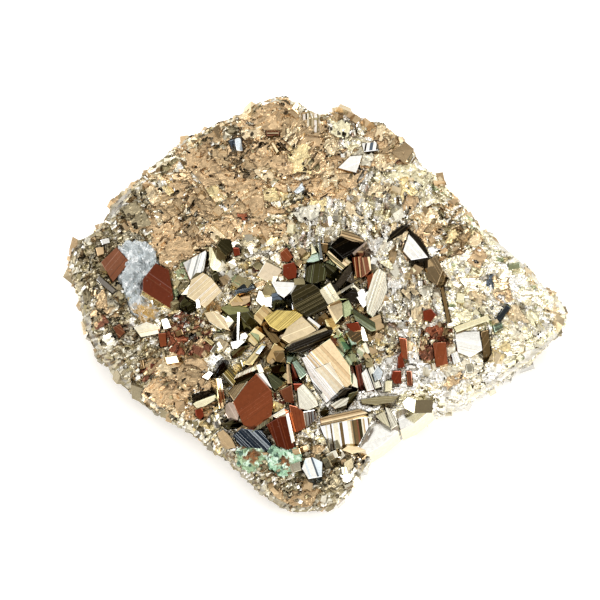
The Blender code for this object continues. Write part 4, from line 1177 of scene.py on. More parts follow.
patches = {
    # outline as u, v; dome above and bowl below the mass; lumps' sizes and depth; tones
    "milkyQuartz": {
        "outline": [(-36.2, 9.6), (-33.0, 11.6), (-29.6, 9.6), (-29.4, 5.6), (-31.2, 2.0),
                    (-29.0, -1.2), (-31.0, -3.0), (-33.8, -1.4), (-34.8, 2.2), (-36.6, 5.4)],
        "dome": 1.5, "bowl": 2.6, "spread": 1.04, "cells": ((2.6, 0.5), (1.1, 0.25)),
        "body": "b6c0c4", "heart": "c9a35c", "heartAt": (-31.0, -1.5), "heartReach": 2.4,
        "flecks": [(0.0, 0.1, "dfe4e6"), (0.1, 0.16, "8f9690")],
    },
    "malachiteLeft": {
        "outline": [(-14.4, -26.6), (-12.6, -24.9), (-10.4, -26.2), (-10.6, -28.4),
                    (-12.6, -29.6), (-14.2, -28.4)],
        "dome": 0.8, "bowl": 0.9, "spread": 1.25, "cells": ((1.3, 0.35), (0.6, 0.2)),
        "body": "9db893", "heart": "8a5a2b", "heartAt": (-12.0, -27.4), "heartReach": 1.3,
        "flecks": [(0.0, 0.16, "d5ead8"), (0.16, 0.3, "4c6a58"), (0.3, 0.36, "6b4a26")],
    },
    "malachiteRight": {
        "outline": [(-8.6, -26.0), (-6.0, -26.4), (-3.9, -26.4), (-4.2, -29.0),
                    (-6.4, -30.4), (-8.4, -29.2)],
        "dome": 0.8, "bowl": 0.9, "spread": 1.25, "cells": ((1.3, 0.35), (0.6, 0.2)),
        "body": "a9cdb0", "heart": "8a5a2b", "heartAt": (-6.2, -28.4), "heartReach": 1.2,
        "flecks": [(0.0, 0.16, "d5ead8"), (0.16, 0.3, "4c6a58"), (0.3, 0.36, "6b4a26")],
    },
}
patchRings = ((1.0, 0.0), (0.86, 0.5), (0.6, 0.85), (0.3, 1.0), (0.0, 1.0))  # share, lift
patchGrid = (60, 120)  # rows and columns
patchLook = {  # blocks by size and salt: they waver the heart's border, shade and fleck the faces
    "border": (0.9, 77), "shade": (0.5, 91), "fleck": (0.7, 97),
    "waver": 0.9, "ramp": (1.6, 0.9),  # how much the border wavers, and how sharp it is
    "shades": (0.75, 0.4),  # the darkest face, and the range above it
}


def makePatch(name):
    # rings drawn in from the outline to its middle, lifted into a dome and sunk into a bowl,
    # then refined and broken into small blocks
    patch = patches[name]
    middle = np.mean(patch["outline"], axis=0)
    edge = closedCurve(patch["outline"], 2 * len(patch["outline"]))
    edge = middle + (edge - middle) * patch["spread"]
    rings = []
    for side, size in ((-1, patch["bowl"]), (1, patch["dome"])):
        for share, lifted in patchRings[::side] if side > 0 else patchRings[::-1]:
            if side > 0 and share == 1.0:
                continue
            ground = np.stack([seat(*(middle + (spot - middle) * share)) for spot in edge])
            rings.append(ground + toward * side * size * lifted)
    rows, columns = patchGrid
    grid = refine(np.stack(rings), rows, columns)
    normals = gridNormals(grid).reshape(-1, 3)
    points = grid.reshape(-1, 3)
    for salt, (size, depth) in enumerate(patch["cells"]):
        points = points + normals * (brokenBlocks(points, size, 50 + 10 * salt)[0] * depth)[:, None]
    points = np.concatenate([points[columns:-columns], points[-1:], points[:1]])
    faces = closedFaces(rows, columns)
    centres = points[faces].mean(axis=1)
    far = np.linalg.norm(frontPlace(centres) - patch["heartAt"], axis=1) / patch["heartReach"]
    waver = brokenBlocks(centres, *patchLook["border"])[1] - 0.5
    sharp, start = patchLook["ramp"]
    share = np.clip((far + waver * patchLook["waver"]) * sharp - start, 0.0, 1.0)[:, None]
    tint = linear(patch["heart"]) * (1 - share) + linear(patch["body"]) * share
    darkest, span = patchLook["shades"]
    tint = tint * (darkest + span * brokenBlocks(centres, *patchLook["shade"])[1])[:, None]
    fleck = brokenBlocks(centres, *patchLook["fleck"])[1]
    for low, high, tone in patch["flecks"]:
        tint = np.where(((fleck > low) & (fleck < high))[:, None], linear(tone), tint)
    return makeMesh(name, points, faces, tint)


frontGround = {  # the ground between the crystals, seen from the front
    "spacing": 0.165, "left": -47.2, "right": 46.8, "low": -38.4, "high": 38.0,
    "dense": (660, 2000),  # rows and columns of the mass's points that its depths come from
    "calm": 15,  # grid steps that its slopes are taken over
    "wander": ((2.4, 0.55), (0.8, 0.22)),  # size and reach of the waver of every border
    "large": {"size": 6.2, "salt": 100, "stretch": 1.5, "turn": 12.0, "seam": (0.0, 0.42),
              "cleaved": 0.55, "stray": 2.5, "step": 0.18},
    "small": {"size": 2.3, "salt": 200, "stretch": 1.25, "turn": 30.0, "seam": (0.0, 0.28),
              "cleaved": 0.30, "stray": 8.0, "step": 0.16},
    "blocks": {"size": 1.5, "salt": 300, "lean": 20.0, "step": 0.22, "stretch": 1.2,
               "turn": 20.0},
    "family": {"size": 5.2, "salt": 600, "swing": 70.0},  # places whose grains lie one way
    "grain": {"size": 0.44, "salt": 400},
    "crumb": {"size": 0.31, "salt": 500, "share": 0.4, "lean": 0.45, "blocks": 0.2},
    "streak": {"size": 0.36, "salt": 800, "stretch": 5.0, "lean": 6.0, "step": 0.03},
    "through": (0.14, 0.42),  # share of grains that stand in a facet: everywhere, in worn places
    "crack": {"size": 2.9, "salt": 700, "wide": 0.10, "stretch": 2.2},
    "steep": (0.62, 0.3, 0.62, 0.5),  # painted shade on steps between facets turned from the sight line: slope, span, shade and greyness
    "stepShadeHue": (1.0, 0.93, 0.8),  # the hue that the grey of that painted shade leans to
    "rim": (5, 2.2, 1.2, 0.9),  # grid steps and ramp of the smoother rim, and where it ends
    "lookWaver": (4.0, 1.5),  # size and reach of the waver of the borders between looks
    "seamWaver": (3.0, 0.3),  # size and mean of the waver that widens the seams
    "worn": (2.0, 0.9, 0.45),  # worn places: size, size of their border, and how rare
    "facetShade": (0.9, 0.2),  # the darkest facet and the range above it
    "mottle": ((2.6, 0.12), (0.7, 0.10)),  # size and depth of the mottling on a facet, partly a painted reflection gradient
    "marks": {"grain": 0.12, "crack": 0.35, "streak": 2.0, "speck": 0.3},  # and of its marks
    "specks": (0.04, 0.95),  # crumbs below the first are dark specks, above the second bright
    # a raised facet: how far round it is looked at, depth and size of the chips in its edge, and
    # how far it may stand over the ground, as a share of mostRise, or lie under it in mm
    "facet": {"around": 1.5, "chip": 0.35, "chipSize": 1.1, "rise": 1.3, "sink": -0.4},
    "hole": (1.3, 0.6, 0.5),  # flattening of a pit, depth of its waver and that waver's size
    "mostRise": 0.8,  # how far a facet may leave the ground
    "pits": [  # small holes darkened with painted shade: u, v, reach and depth
        (-17.3, 21.4, 0.5, 0.5), (-13.1, 23.2, 0.45, 0.5), (-6.6, 28.6, 0.8, 0.8),
        (-10.4, 28.9, 0.5, 0.5), (-15.4, 27.2, 0.5, 0.5), (4.6, 30.6, 0.45, 0.5),
        (-2.6, 20.2, 0.5, 0.6), (8.8, 27.4, 0.4, 0.5), (-25.6, 20.2, 0.4, 0.5),
        (-22.6, -6.0, 0.9, 1.0), (-18.6, -8.6, 0.7, 0.9), (29.0, -8.6, 0.5, 0.7),
        (23.4, 3.0, 0.5, 0.7),
    ],
    "moat": (0.20, 0.5),  # width and depth of the gap round a crystal
    "below": 0.05, "gapFrom": -0.2,  # mm outside the outline that is lowered, and from where painted shade darkens it
    "moated": (0.6, 0.3),  # shares of that round the table's crystals and the small ones
    "gapShade": 0.85, "pitShade": 0.45,  # how dark the painted shade makes the gaps and the pits
    "grainShade": (0.75, 0.5),  # the darkest grain and the range above it
    "polish": (0.20, 0.24, 0.22),  # roughness of grains, of flat facets and of raised ones
    "under": 0.6,  # how far the ground stays below a crystal's face
    "shell": (-1.0, 2.0, 12.0),  # the point inside the stone that the surface is closed to
}


def runningMean(field, reach):
    # mean over a square of the given reach in grid steps, by running totals along both ways
    span = 2 * reach + 1
    for axis in (0, 1):
        width = [(reach + 1, reach) if k == axis else (0, 0) for k in (0, 1)]
        total = np.cumsum(np.pad(field, width, mode="edge"), axis=axis)
        ends = np.arange(span, total.shape[axis])
        field = (np.take(total, ends, axis) - np.take(total, ends - span, axis)) / span
    return field


def wavering(u, v, size, salt):
    # smooth noise from -1 to 1: random values at whole steps of size, eased in between
    a, b = u / size, v / size
    cellA, cellB = np.floor(a).astype(np.int64), np.floor(b).astype(np.int64)
    easeA, easeB = a - cellA, b - cellB
    easeA, easeB = easeA ** 2 * (3 - 2 * easeA), easeB ** 2 * (3 - 2 * easeB)
    none = np.zeros_like(cellA)
    corner = [[hashed(np.stack([cellA + i, cellB + j, none], axis=-1), salt) for j in (0, 1)]
              for i in (0, 1)]
    low = corner[0][0] * (1 - easeA) + corner[1][0] * easeA
    high = corner[0][1] * (1 - easeA) + corner[1][1] * easeA
    return 2 * (low * (1 - easeB) + high * easeB) - 1


cellForm = {
    "inset": 0.1, "jitter": 0.8,  # where in its cell a seed lies: margin and range
    "square": 0.55, "round": 0.45,  # shares of the square's and the circle's measure
}


def cellsOf(u, v, size, salt, stretch=1.0, turn=0.0):
    # the nearest jittered seed on a turned, stretched grid, by a measure between a square's
    # and a circle's: its number, its place and how far the next seed's border is
    c, s = np.cos(np.radians(turn)), np.sin(np.radians(turn))
    a, b = (u * c + v * s) / (size * stretch), (v * c - u * s) / size
    baseA, baseB = np.floor(a).astype(np.int64), np.floor(b).astype(np.int64)
    best, second = np.full(a.shape, 9.0), np.full(a.shape, 9.0)
    found = [baseA, baseB, a, b]
    none = np.zeros_like(baseA)
    inset, jitter = cellForm["inset"], cellForm["jitter"]
    for i in (-1, 0, 1):
        for j in (-1, 0, 1):
            cell = np.stack([baseA + i, baseB + j, none], axis=-1)
            seedA = baseA + i + inset + jitter * hashed(cell, salt + 1)
            seedB = baseB + j + inset + jitter * hashed(cell, salt + 2)
            offA, offB = np.abs(a - seedA), np.abs(b - seedB)
            far = (cellForm["square"] * np.maximum(offA, offB)
                   + cellForm["round"] * np.hypot(offA, offB))
            near = far < best
            second = np.where(near, best, np.minimum(second, far))
            best = np.where(near, far, best)
            found = [np.where(near, new, old) for new, old in
                     zip((baseA + i, baseB + j, seedA, seedB), found)]
    cell = np.stack([found[0], found[1], none], axis=-1)
    alongU, alongV = found[2] * size * stretch, found[3] * size
    return cell, alongU * c - alongV * s, alongU * s + alongV * c, (second - best) * size


def frontDepths():
    # the nearest depth of the mass at each spot of the grid, from many points of its sides
    grid = frontGround
    points = refine(coarse, *grid["dense"]).reshape(-1, 3)
    place = frontPlace(points)
    columns = int((grid["right"] - grid["left"]) / grid["spacing"])
    rows = int((grid["high"] - grid["low"]) / grid["spacing"])
    column = np.rint((place[:, 0] - grid["left"]) / grid["spacing"]).astype(int)
    row = np.rint((place[:, 1] - grid["low"]) / grid["spacing"]).astype(int)
    depth = np.full((rows, columns), -99.0)
    np.maximum.at(depth, (row, column), (points - aim) @ toward)
    inside = depth > -90.0
    weight = np.maximum(runningMean(inside.astype(float), 2), 1e-6)
    return runningMean(np.where(inside, depth, 0.0), 2) / weight, inside


def sinkUnder(depth, shade, u, v, entry, moated):
    # keeps the ground below a crystal's face, and lower still in the gap round it, where painted
    # shade darkens it
    middle, high, slope, axes = facePlane(entry)
    corners = entry[0]
    width, drop = frontGround["moat"]
    reach = np.abs(corners - middle).max(axis=0) + width
    near = np.flatnonzero((np.abs(u - middle[0]) < reach[0]) & (np.abs(v - middle[1]) < reach[1]))
    place = np.stack([u[near], v[near]], axis=1)
    far = beyond(onPlane(place, middle, slope, axes), onPlane(corners, middle, slope, axes))
    within = far < frontGround["below"]
    under = near[within]
    ceiling = high + (place - middle) @ slope - frontGround["under"]
    depth[under] = np.minimum(depth[under], ceiling[within])
    gap = near[(far >= frontGround["gapFrom"]) & (far < width * moated)]
    depth[gap] -= drop * moated
    shade[gap] *= frontGround["gapShade"]


def insideOutline(u, v, outline):
    # even-odd test: crossings of each edge of a closed outline by a line to the right
    inside = np.zeros(u.shape, bool)
    for (u0, v0), (u1, v1) in zip(outline, np.roll(outline, -1, axis=0)):
        crosses = (v0 > v) != (v1 > v)
        at = u0 + (v - v0) / np.where(v1 == v0, 1e-9, v1 - v0) * (u1 - u0)
        inside ^= crosses & (u < at)
    return inside


def sinkUnderPatch(depth, u, v, patch):
    # keeps the ground below quartz or crust
    edge = closedCurve(patch["outline"], 2 * len(patch["outline"]))
    depth[insideOutline(u, v, edge)] -= frontGround["under"]


def raiseFacet(depth, tint, polish, level, place, surface, entry):
    # lays a flat facet with a wavering, chipped outline over the ground
    middle, high, slope, axes = facePlane(entry)
    corners = entry[0]
    u, v, warpU, warpV = place
    marks, ripple = surface
    form = frontGround["facet"]
    reach = np.abs(corners - middle).max(axis=0) + form["around"]
    near = np.flatnonzero((np.abs(u - middle[0]) < reach[0]) & (np.abs(v - middle[1]) < reach[1]))
    spots = np.stack([warpU[near], warpV[near]], axis=1)
    far = beyond(onPlane(spots, middle, slope, axes), onPlane(corners, middle, slope, axes))
    plane = high + slope[0] * (u[near] - middle[0]) + slope[1] * (v[near] - middle[1])
    chip = form["chip"] * wavering(u[near], v[near], form["chipSize"], 91)
    over = (far + chip < 0.0) & (plane - level[near] < frontGround["mostRise"] * form["rise"])
    over &= (plane - level[near] > form["sink"]) & (marks[near] > 0.0)
    depth[near[over]] = plane[over] + ripple[near[over]]
    tint[near[over]] = toneColour[entry[4]] * marks[near[over]][:, None]
    polish[near[over]] = frontGround["polish"][2]


def makeFront():
    # ground = the mass's own depth, cut into flat facets where a cell of the large or small
    # grid is one, and else broken into tilted blocks, grains and crumbs; each has one tone
    grid = frontGround
    ground, inside = frontDepths()
    rows, columns = ground.shape
    weight = np.maximum(runningMean(inside.astype(float), grid["calm"]), 1e-6)
    calm = runningMean(np.where(inside, ground, 0.0), grid["calm"]) / weight
    slopeV, slopeU = np.gradient(calm, grid["spacing"])
    spot = np.flatnonzero(inside.ravel())
    row, column = np.divmod(spot, columns)
    u = grid["left"] + column * grid["spacing"]
    v = grid["low"] + row * grid["spacing"]
    level = ground.ravel()[spot]
    reach, sharp, start, full = grid["rim"]
    edge = runningMean(inside.astype(float), reach).ravel()[spot]
    edge = np.clip(sharp * edge - start, 0.0, 1.0)

    def readAt(field, atU, atV):
        c = np.clip(np.rint((atU - grid["left"]) / grid["spacing"]).astype(int), 0, columns - 1)
        r = np.clip(np.rint((atV - grid["low"]) / grid["spacing"]).astype(int), 0, rows - 1)
        return field[r, c]

    warpU, warpV = u.copy(), v.copy()
    for salt, (size, reach) in enumerate(grid["wander"]):
        warpU += wavering(u, v, size, 31 + salt) * reach
        warpV += wavering(u, v, size, 41 + salt) * reach
    normal = (toward - slopeU.ravel()[spot][:, None] * right
              - slopeV.ravel()[spot][:, None] * up)
    normal /= np.linalg.norm(normal, axis=1)[:, None]
    size, reach = grid["lookWaver"]
    place = np.stack([warpU + wavering(u, v, size, 51) * reach,
                      warpV + wavering(u, v, size, 52) * reach], axis=1)
    look = looksAt(frontPoint(place[:, 0], place[:, 1], level), normal)
    cleave = -np.array([blockAxes[2] @ right, blockAxes[2] @ up]) / (blockAxes[2] @ toward)

    # broken ground: blocks, then grains on them, then crumbs on some of those
    blocks, grain, crumb, crack = (grid[key] for key in ("blocks", "grain", "crumb", "crack"))
    cell, seedU, seedV, _ = cellsOf(warpU, warpV, blocks["size"], blocks["salt"],
                                    blocks["stretch"], blocks["turn"])
    steep = math.tan(math.radians(blocks["lean"]))
    rough = (hashed(cell, 3) - 0.5) * 2 * blocks["step"]
    rough += (hashed(cell, 4) - 0.5) * 2 * steep * (warpU - seedU)
    rough += (hashed(cell, 5) - 0.5) * 2 * steep * (warpV - seedV)
    blockDraw = hashed(cell, 6)
    family = grid["family"]
    cell, _, _, _ = cellsOf(warpU, warpV, family["size"], family["salt"])
    turn = lookTable("number", "turn")[look] + (hashed(cell, 3) - 0.5) * family["swing"]
    cell, seedU, seedV, _ = cellsOf(warpU, warpV, grain["size"], grain["salt"],
                                    lookTable("number", "stretch")[look], turn)
    height = lookTable("number", "height")[look]
    steep = np.tan(np.radians(lookTable("number", "lean")[look]))
    rough += (hashed(cell, 3) - 0.5) * 2 * height
    rough += (hashed(cell, 4) - 0.5) * 2 * steep * (warpU - seedU)
    rough += (hashed(cell, 5) - 0.5) * 2 * steep * (warpV - seedV)
    grainDraw, grainShade = hashed(cell, 6), hashed(cell, 7)
    cell, seedU, seedV, _ = cellsOf(u, v, crumb["size"], crumb["salt"])
    some = hashed(cell, 3) < crumb["share"]
    rough += some * (hashed(cell, 4) - 0.5) * 2 * crumb["lean"] * (u - seedU)
    rough += some * (hashed(cell, 5) - 0.5) * 2 * crumb["lean"] * (v - seedV)
    crumbDraw = hashed(cell, 7)
    streak = grid["streak"]
    cell, seedU, seedV, _ = cellsOf(warpU, warpV, streak["size"], streak["salt"],
                                    streak["stretch"], turn)
    steep = math.tan(math.radians(streak["lean"]))
    ripple = ((hashed(cell, 3) - 0.5) * (warpU - seedU) + (hashed(cell, 4) - 0.5) * (warpV - seedV)
              ) * 2 * steep + (hashed(cell, 5) - 0.5) * 2 * streak["step"]
    streakShade = hashed(cell, 6)
    draw = np.where(hashed(cell, 6) < crumb["blocks"], blockDraw, grainDraw)
    darkest, span = grid["grainShade"]
    tint = pickTones(look, draw, "grains") * (darkest + span * grainShade)[:, None]
    depth = level + rough * edge
    # painted shade of the gaps and pits, laid on the tints below
    shade = np.ones(len(spot))
    grainPolish, facetPolish, _ = grid["polish"]
    polish = np.full(len(spot), grainPolish)

    # flat facets, small ones first, so that large ones lie over them
    for key in ("small", "large"):
        kind = grid[key]
        cell, seedU, seedV, gap = cellsOf(warpU, warpV, kind["size"], kind["salt"],
                                          kind["stretch"], kind["turn"])
        stray = math.tan(math.radians(kind["stray"]))
        mix = kind["cleaved"]
        alongU = (readAt(slopeU, seedU, seedV) * (1 - mix) + cleave[0] * mix
                  + (hashed(cell, 3) - 0.5) * 2 * stray)
        alongV = (readAt(slopeV, seedU, seedV) * (1 - mix) + cleave[1] * mix
                  + (hashed(cell, 4) - 0.5) * 2 * stray)
        plane = readAt(calm, seedU, seedV) + (hashed(cell, 5) - 0.5) * 2 * kind["step"]
        plane = plane + alongU * (u - seedU) + alongV * (v - seedV)
        (narrow, wide), (size, mean) = kind["seam"], grid["seamWaver"]
        seam = narrow + (wide - narrow) * np.clip(wavering(u, v, size, 61) + mean, 0.0, 1.0)
        flat = (hashed(cell, 6) < lookTable("number", key)[look]) & (gap > seam)
        flat &= (np.abs(plane - level) < grid["mostRise"]) & (edge > full)
        size, border, rare = grid["worn"]
        worn = wavering(warpU, warpV, size, 71) + 0.5 * wavering(u, v, border, 72) > rare
        flat &= grainDraw > np.where(worn, grid["through"][1], grid["through"][0])
        depth = np.where(flat, plane + ripple, depth)
        darkest, span = grid["facetShade"]
        facet = pickTones(look, hashed(cell, 7), "facets")
        facet = facet * (darkest + span * hashed(cell, 8))[:, None]
        split = cellsOf(warpU, warpV, crack["size"], crack["salt"], crack["stretch"],
                        kind["turn"])[3]
        # the mottling below is partly a painted reflection gradient
        marks = 1.0
        for salt, (size, deep) in enumerate(grid["mottle"]):
            marks = marks + deep * wavering(u, v, size, 81 + salt)
        deep, (dark, bright) = grid["marks"], grid["specks"]
        marks = (marks + deep["grain"] * (grainShade - 0.5)
                 - deep["crack"] * (split < crack["wide"])
                 + deep["streak"] * (streakShade - 0.5) ** 3
                 - deep["speck"] * (crumbDraw < dark) + deep["speck"] * (crumbDraw > bright))
        facet *= marks[:, None]
        tint = np.where(flat[:, None], facet, tint)
        polish = np.where(flat, facetPolish, polish)

    marks = np.where(grainDraw > grid["through"][0], marks, 0.0)
    for entry in raisedEntries:
        raiseFacet(depth, tint, polish, level, (u, v, warpU, warpV), (marks, ripple), entry)
    # each pit is sunk and darkened with painted shade
    for pitU, pitV, reach, drop in grid["pits"]:
        flatter, deep, size = grid["hole"]
        far = np.hypot(u - pitU, (v - pitV) * flatter)
        hole = far < reach * (1 + deep * wavering(u, v, size, 95))
        depth[hole] -= drop
        shade[hole] *= grid["pitShade"]
    for name, entry in crystals.items():
        if name not in sheets:
            sinkUnder(depth, shade, u, v, entry, grid["moated"][0])
    for entry in wholeEntries:
        sinkUnder(depth, shade, u, v, entry, grid["moated"][1])
    for name in patches:
        sinkUnderPatch(depth, u, v, patches[name])

    # faces where all four corners are inside, closed to a point deep in the stone
    number = np.full(rows * columns, -1)
    number[spot] = np.arange(len(spot))
    number = number.reshape(rows, columns)
    quads = np.stack([number[:-1, :-1], number[:-1, 1:], number[1:, 1:], number[1:, :-1]],
                     axis=-1).reshape(-1, 4)
    quads = quads[(quads >= 0).all(axis=1)]
    points = frontPoint(u, v, depth)
    points[:, 2] = np.maximum(points[:, 2], mass["lowest"])
    tint = tint * shade[:, None]
    # faces turned from the sight line, the steps between facets, are darkened and greyed: painted
    # shade
    corner = points[quads]
    facing = np.cross(corner[:, 2] - corner[:, 0], corner[:, 3] - corner[:, 1])
    facing = facing @ toward / np.linalg.norm(facing, axis=1)
    slope, span, dark, grey = grid["steep"]
    steep = np.clip((slope - facing) / span, 0.0, 1.0)[:, None]
    quadTint = tint[quads[:, 0]]
    plain = quadTint.mean(axis=1, keepdims=True) * grid["stepShadeHue"]
    quadTint += (quadTint * (1 - grey) * dark + plain * grey * dark - quadTint) * steep
    bare = (shade == 1.0) & (edge > full) & (polish == grainPolish)
    made = []
    leftHalf = u[quads[:, 0]] < np.median(u[quads[:, 0]])
    for name, chosen in (("groundLeft", leftHalf), ("groundRight", ~leftHalf)):
        faces = quads[chosen]
        split = np.concatenate([faces[:, [0, 1, 2]], faces[:, [0, 2, 3]]])
        own = quadTint[chosen]
        sides = np.stack([faces, np.roll(faces, -1, axis=1)], axis=-1).reshape(-1, 2)
        keys = np.sort(sides, axis=1) @ (len(points), 1)
        _, first, times = np.unique(keys, return_index=True, return_counts=True)
        rim = sides[first[times == 1]]
        fan = np.stack([rim[:, 1], rim[:, 0], np.full(len(rim), len(points))], axis=1)
        split = np.concatenate([split, fan])
        used, renumbered = np.unique(split, return_inverse=True)
        allPoints = np.concatenate([points, np.array([grid["shell"]])])
        corner = np.minimum(split[:, 0], len(points) - 1)
        own = np.concatenate([own, own, tint[corner[2 * len(own):]]])
        made.append(makeMesh(name, allPoints[used], renumbered.reshape(-1, 3), own,
                             polish[corner]))
    bare = np.flatnonzero(bare)
    return made, (points[bare], normal[bare], np.ones(len(bare)), look[bare])


cubes = makeCrystals()
smallPiece = makeSmallCrystals()
backPiece = makeBackRocks()
print("crystals made")
groundPieces, frontSpots = makeFront()
print("front ground made")
quartzPiece = makePatch("milkyQuartz")
greenPieces = [makePatch("malachiteLeft"), makePatch("malachiteRight")]
print("quartz and crust made")

grains = {  # amount, smallest and largest side in mm, how far out as a share of the size, lean
    # in degrees, and how often each kind of ground has them
    "family": 6.0, "familyLean": 1.3,
    "foot": -0.9, "top": 0.2,  # where a box's ends lie from its middle, as shares of its size
    "uneven": (0.55, 1.25),  # how its three sides differ
    "cleaved": (0.6, 0.08),  # share that lie in the cleavage plane, and how far they stray
    "swing": 0.15,  # how far in radians neighbours turn from each other
    "drawn": (0.55, 1.0),  # how far the outer corners are drawn in
    "tilt": 0.10, "facetFrom": 0.9,  # the outer face's unevenness; the size from which it is flat
    "tone": (0.85, 1.15), "sideTone": (0.7, 1.1),  # how tones vary by box and by side
    "polish": (0.08, 0.3),
    "chips": {"amount": 420, "sides": (0.7, 2.2), "rise": 0.10, "lean": 8.0, "seed": 31,
              "often": {"shady": 1.0, "silvery": 0.55, "straw": 0.2, "bright": 0.35,
                        "drab": 0.1, "tanny": 0.12, "faded": 0.03, "rusty": 0.3,
                        "wall": 0.02, "back": 0.3}},
    "crumbs": {"amount": 900, "sides": (0.28, 0.8), "rise": 0.12, "lean": 42.0, "seed": 32,
               "often": {"shady": 1.0, "silvery": 1.0, "straw": 0.7, "bright": 0.3,
                         "faded": 0.5, "rusty": 0.8, "drab": 0.6, "tanny": 0.5,
                         "wall": 0.4, "back": 0.5}},
    "behindChips": {"amount": 1500, "sides": (0.9, 2.6), "rise": 0.04, "lean": 26.0, "seed": 33,
                    "often": {}},
    "behindCrumbs": {"amount": 11000, "sides": (0.3, 1.1), "rise": 0.08, "lean": 36.0,
                     "seed": 34, "often": {}},
}


def turnedAxes(normals, spin):
    # three axes from each normal, turned about it by spin
    helper = np.where(np.abs(normals[:, 2:]) < 0.9, (0.0, 0.0, 1.0), (1.0, 0.0, 0.0))
    side = np.cross(helper, normals)
    side /= np.linalg.norm(side, axis=1, keepdims=True)
    other = np.cross(normals, side)
    first = side * np.cos(spin)[:, None] + other * np.sin(spin)[:, None]
    return first, np.cross(normals, first), normals


def makeGrains(name, spots):
    # boxes strewn by area over the ground: each a skewed box sunk in it, in its ground's tones
    kind = grains[name]
    places, normals, areas, spotLooks = spots
    own = np.random.default_rng(kind["seed"])
    amount = kind["amount"]
    often = np.array([kind["often"].get(key, 1.0) for key in lookNames])
    weight = areas * often[spotLooks]
    chosen = own.choice(len(places), amount, p=weight / weight.sum())
    look = spotLooks[chosen]
    low, high = kind["sides"]
    size = low + (high - low) * own.uniform(0.0, 1.0, amount) ** 2.0
    sides = size[:, None] * own.uniform(*grains["uneven"], (amount, 3))
    lean = math.tan(math.radians(kind["lean"]))
    normal = normals[chosen] + own.uniform(-lean, lean, (amount, 3))
    if name == "chips":  # neighbours have grown the same way up
        cell = np.floor(places[chosen] / grains["family"]).astype(np.int64)
        way = np.stack([hashed(cell, salt) for salt in (1, 2, 3)], axis=1) - 0.5
        normal += way * grains["familyLean"]
    share, stray = grains["cleaved"]
    inPlane = own.uniform(0, 1, amount) < lookTable("number", "large")[look] * share
    normal = np.where(inPlane[:, None], blockAxes[2] + own.uniform(-stray, stray, (amount, 3)),
                      normal)
    normal /= np.linalg.norm(normal, axis=1, keepdims=True)
    spin = own.uniform(0, 2 * math.pi, amount)
    if name == "chips":
        spin = hashed(cell, 4) * 2 * math.pi
        spin = spin + own.uniform(-grains["swing"], grains["swing"], amount)
    first, second, normal = turnedAxes(normal, spin)
    corner = np.array([(-1, -1), (1, -1), (1, 1), (-1, 1)]) * 0.5
    skew = own.uniform(*grains["drawn"], (amount, 4, 1))
    outer = corner[None] * skew
    centre = places[chosen] + normals[chosen] * (kind["rise"] * size)[:, None]
    points = np.empty((amount, 8, 3))
    ends = ((corner[None], grains["foot"]), (outer, grains["top"]))
    for level, (plan, height) in enumerate(ends):
        tilt = np.zeros((amount, 4))
        if level:
            tilt = own.uniform(-grains["tilt"], grains["tilt"], (amount, 4))
        block = (first[:, None] * plan[:, :, :1] * sides[:, None, :1]
                 + second[:, None] * plan[:, :, 1:] * sides[:, None, 1:2]
                 + normal[:, None] * ((height + tilt) * sides[:, 2:])[:, :, None])
        points[:, level * 4:level * 4 + 4] = centre[:, None] + block
    box = np.array([(0, 3, 2, 1), (4, 5, 6, 7), (0, 1, 5, 4), (1, 2, 6, 5), (2, 3, 7, 6),
                    (3, 0, 4, 7)])
    faces = (box[None] + 8 * np.arange(amount)[:, None, None]).reshape(-1, 4)
    draw = own.uniform(0, 1, amount)
    tint = np.where((size > grains["facetFrom"])[:, None], pickTones(look, draw, "facets"),
                    pickTones(look, draw, "grains")) * own.uniform(*grains["tone"], (amount, 1))
    shade = own.uniform(*grains["sideTone"], (amount, 6, 1))
    tint = (tint[:, None] * shade).reshape(-1, 3)
    points = points.reshape(-1, 3)
    points[:, 2] = np.maximum(points[:, 2], mass["lowest"])
    return makeMesh(name, points, faces, tint, np.repeat(own.uniform(*grains["polish"], amount), 6))


grainPieces = [makeGrains("chips", frontSpots), makeGrains("crumbs", frontSpots),
               makeGrains("behindChips", behindSpots), makeGrains("behindCrumbs", behindSpots)]
print("grains strewn")


def node(tree, kind, settings=None, links=None):
    # adds a node, sets its own fields and sockets, and links its inputs from other outputs
    made = tree.nodes.new("ShaderNode" + kind)
    for key, value in (settings or {}).items():
        if isinstance(key, str) and hasattr(made, key):
            setattr(made, key, value)
        else:
            made.inputs[key].default_value = value
    for key, source in (links or {}).items():
        tree.links.new(source, made.inputs[key])
    return made


def newMaterial(name):
    # an empty material and its node tree
    made = bpy.data.materials.new(name)
    made.use_nodes = True
    made.node_tree.nodes.clear()
    return made, made.node_tree


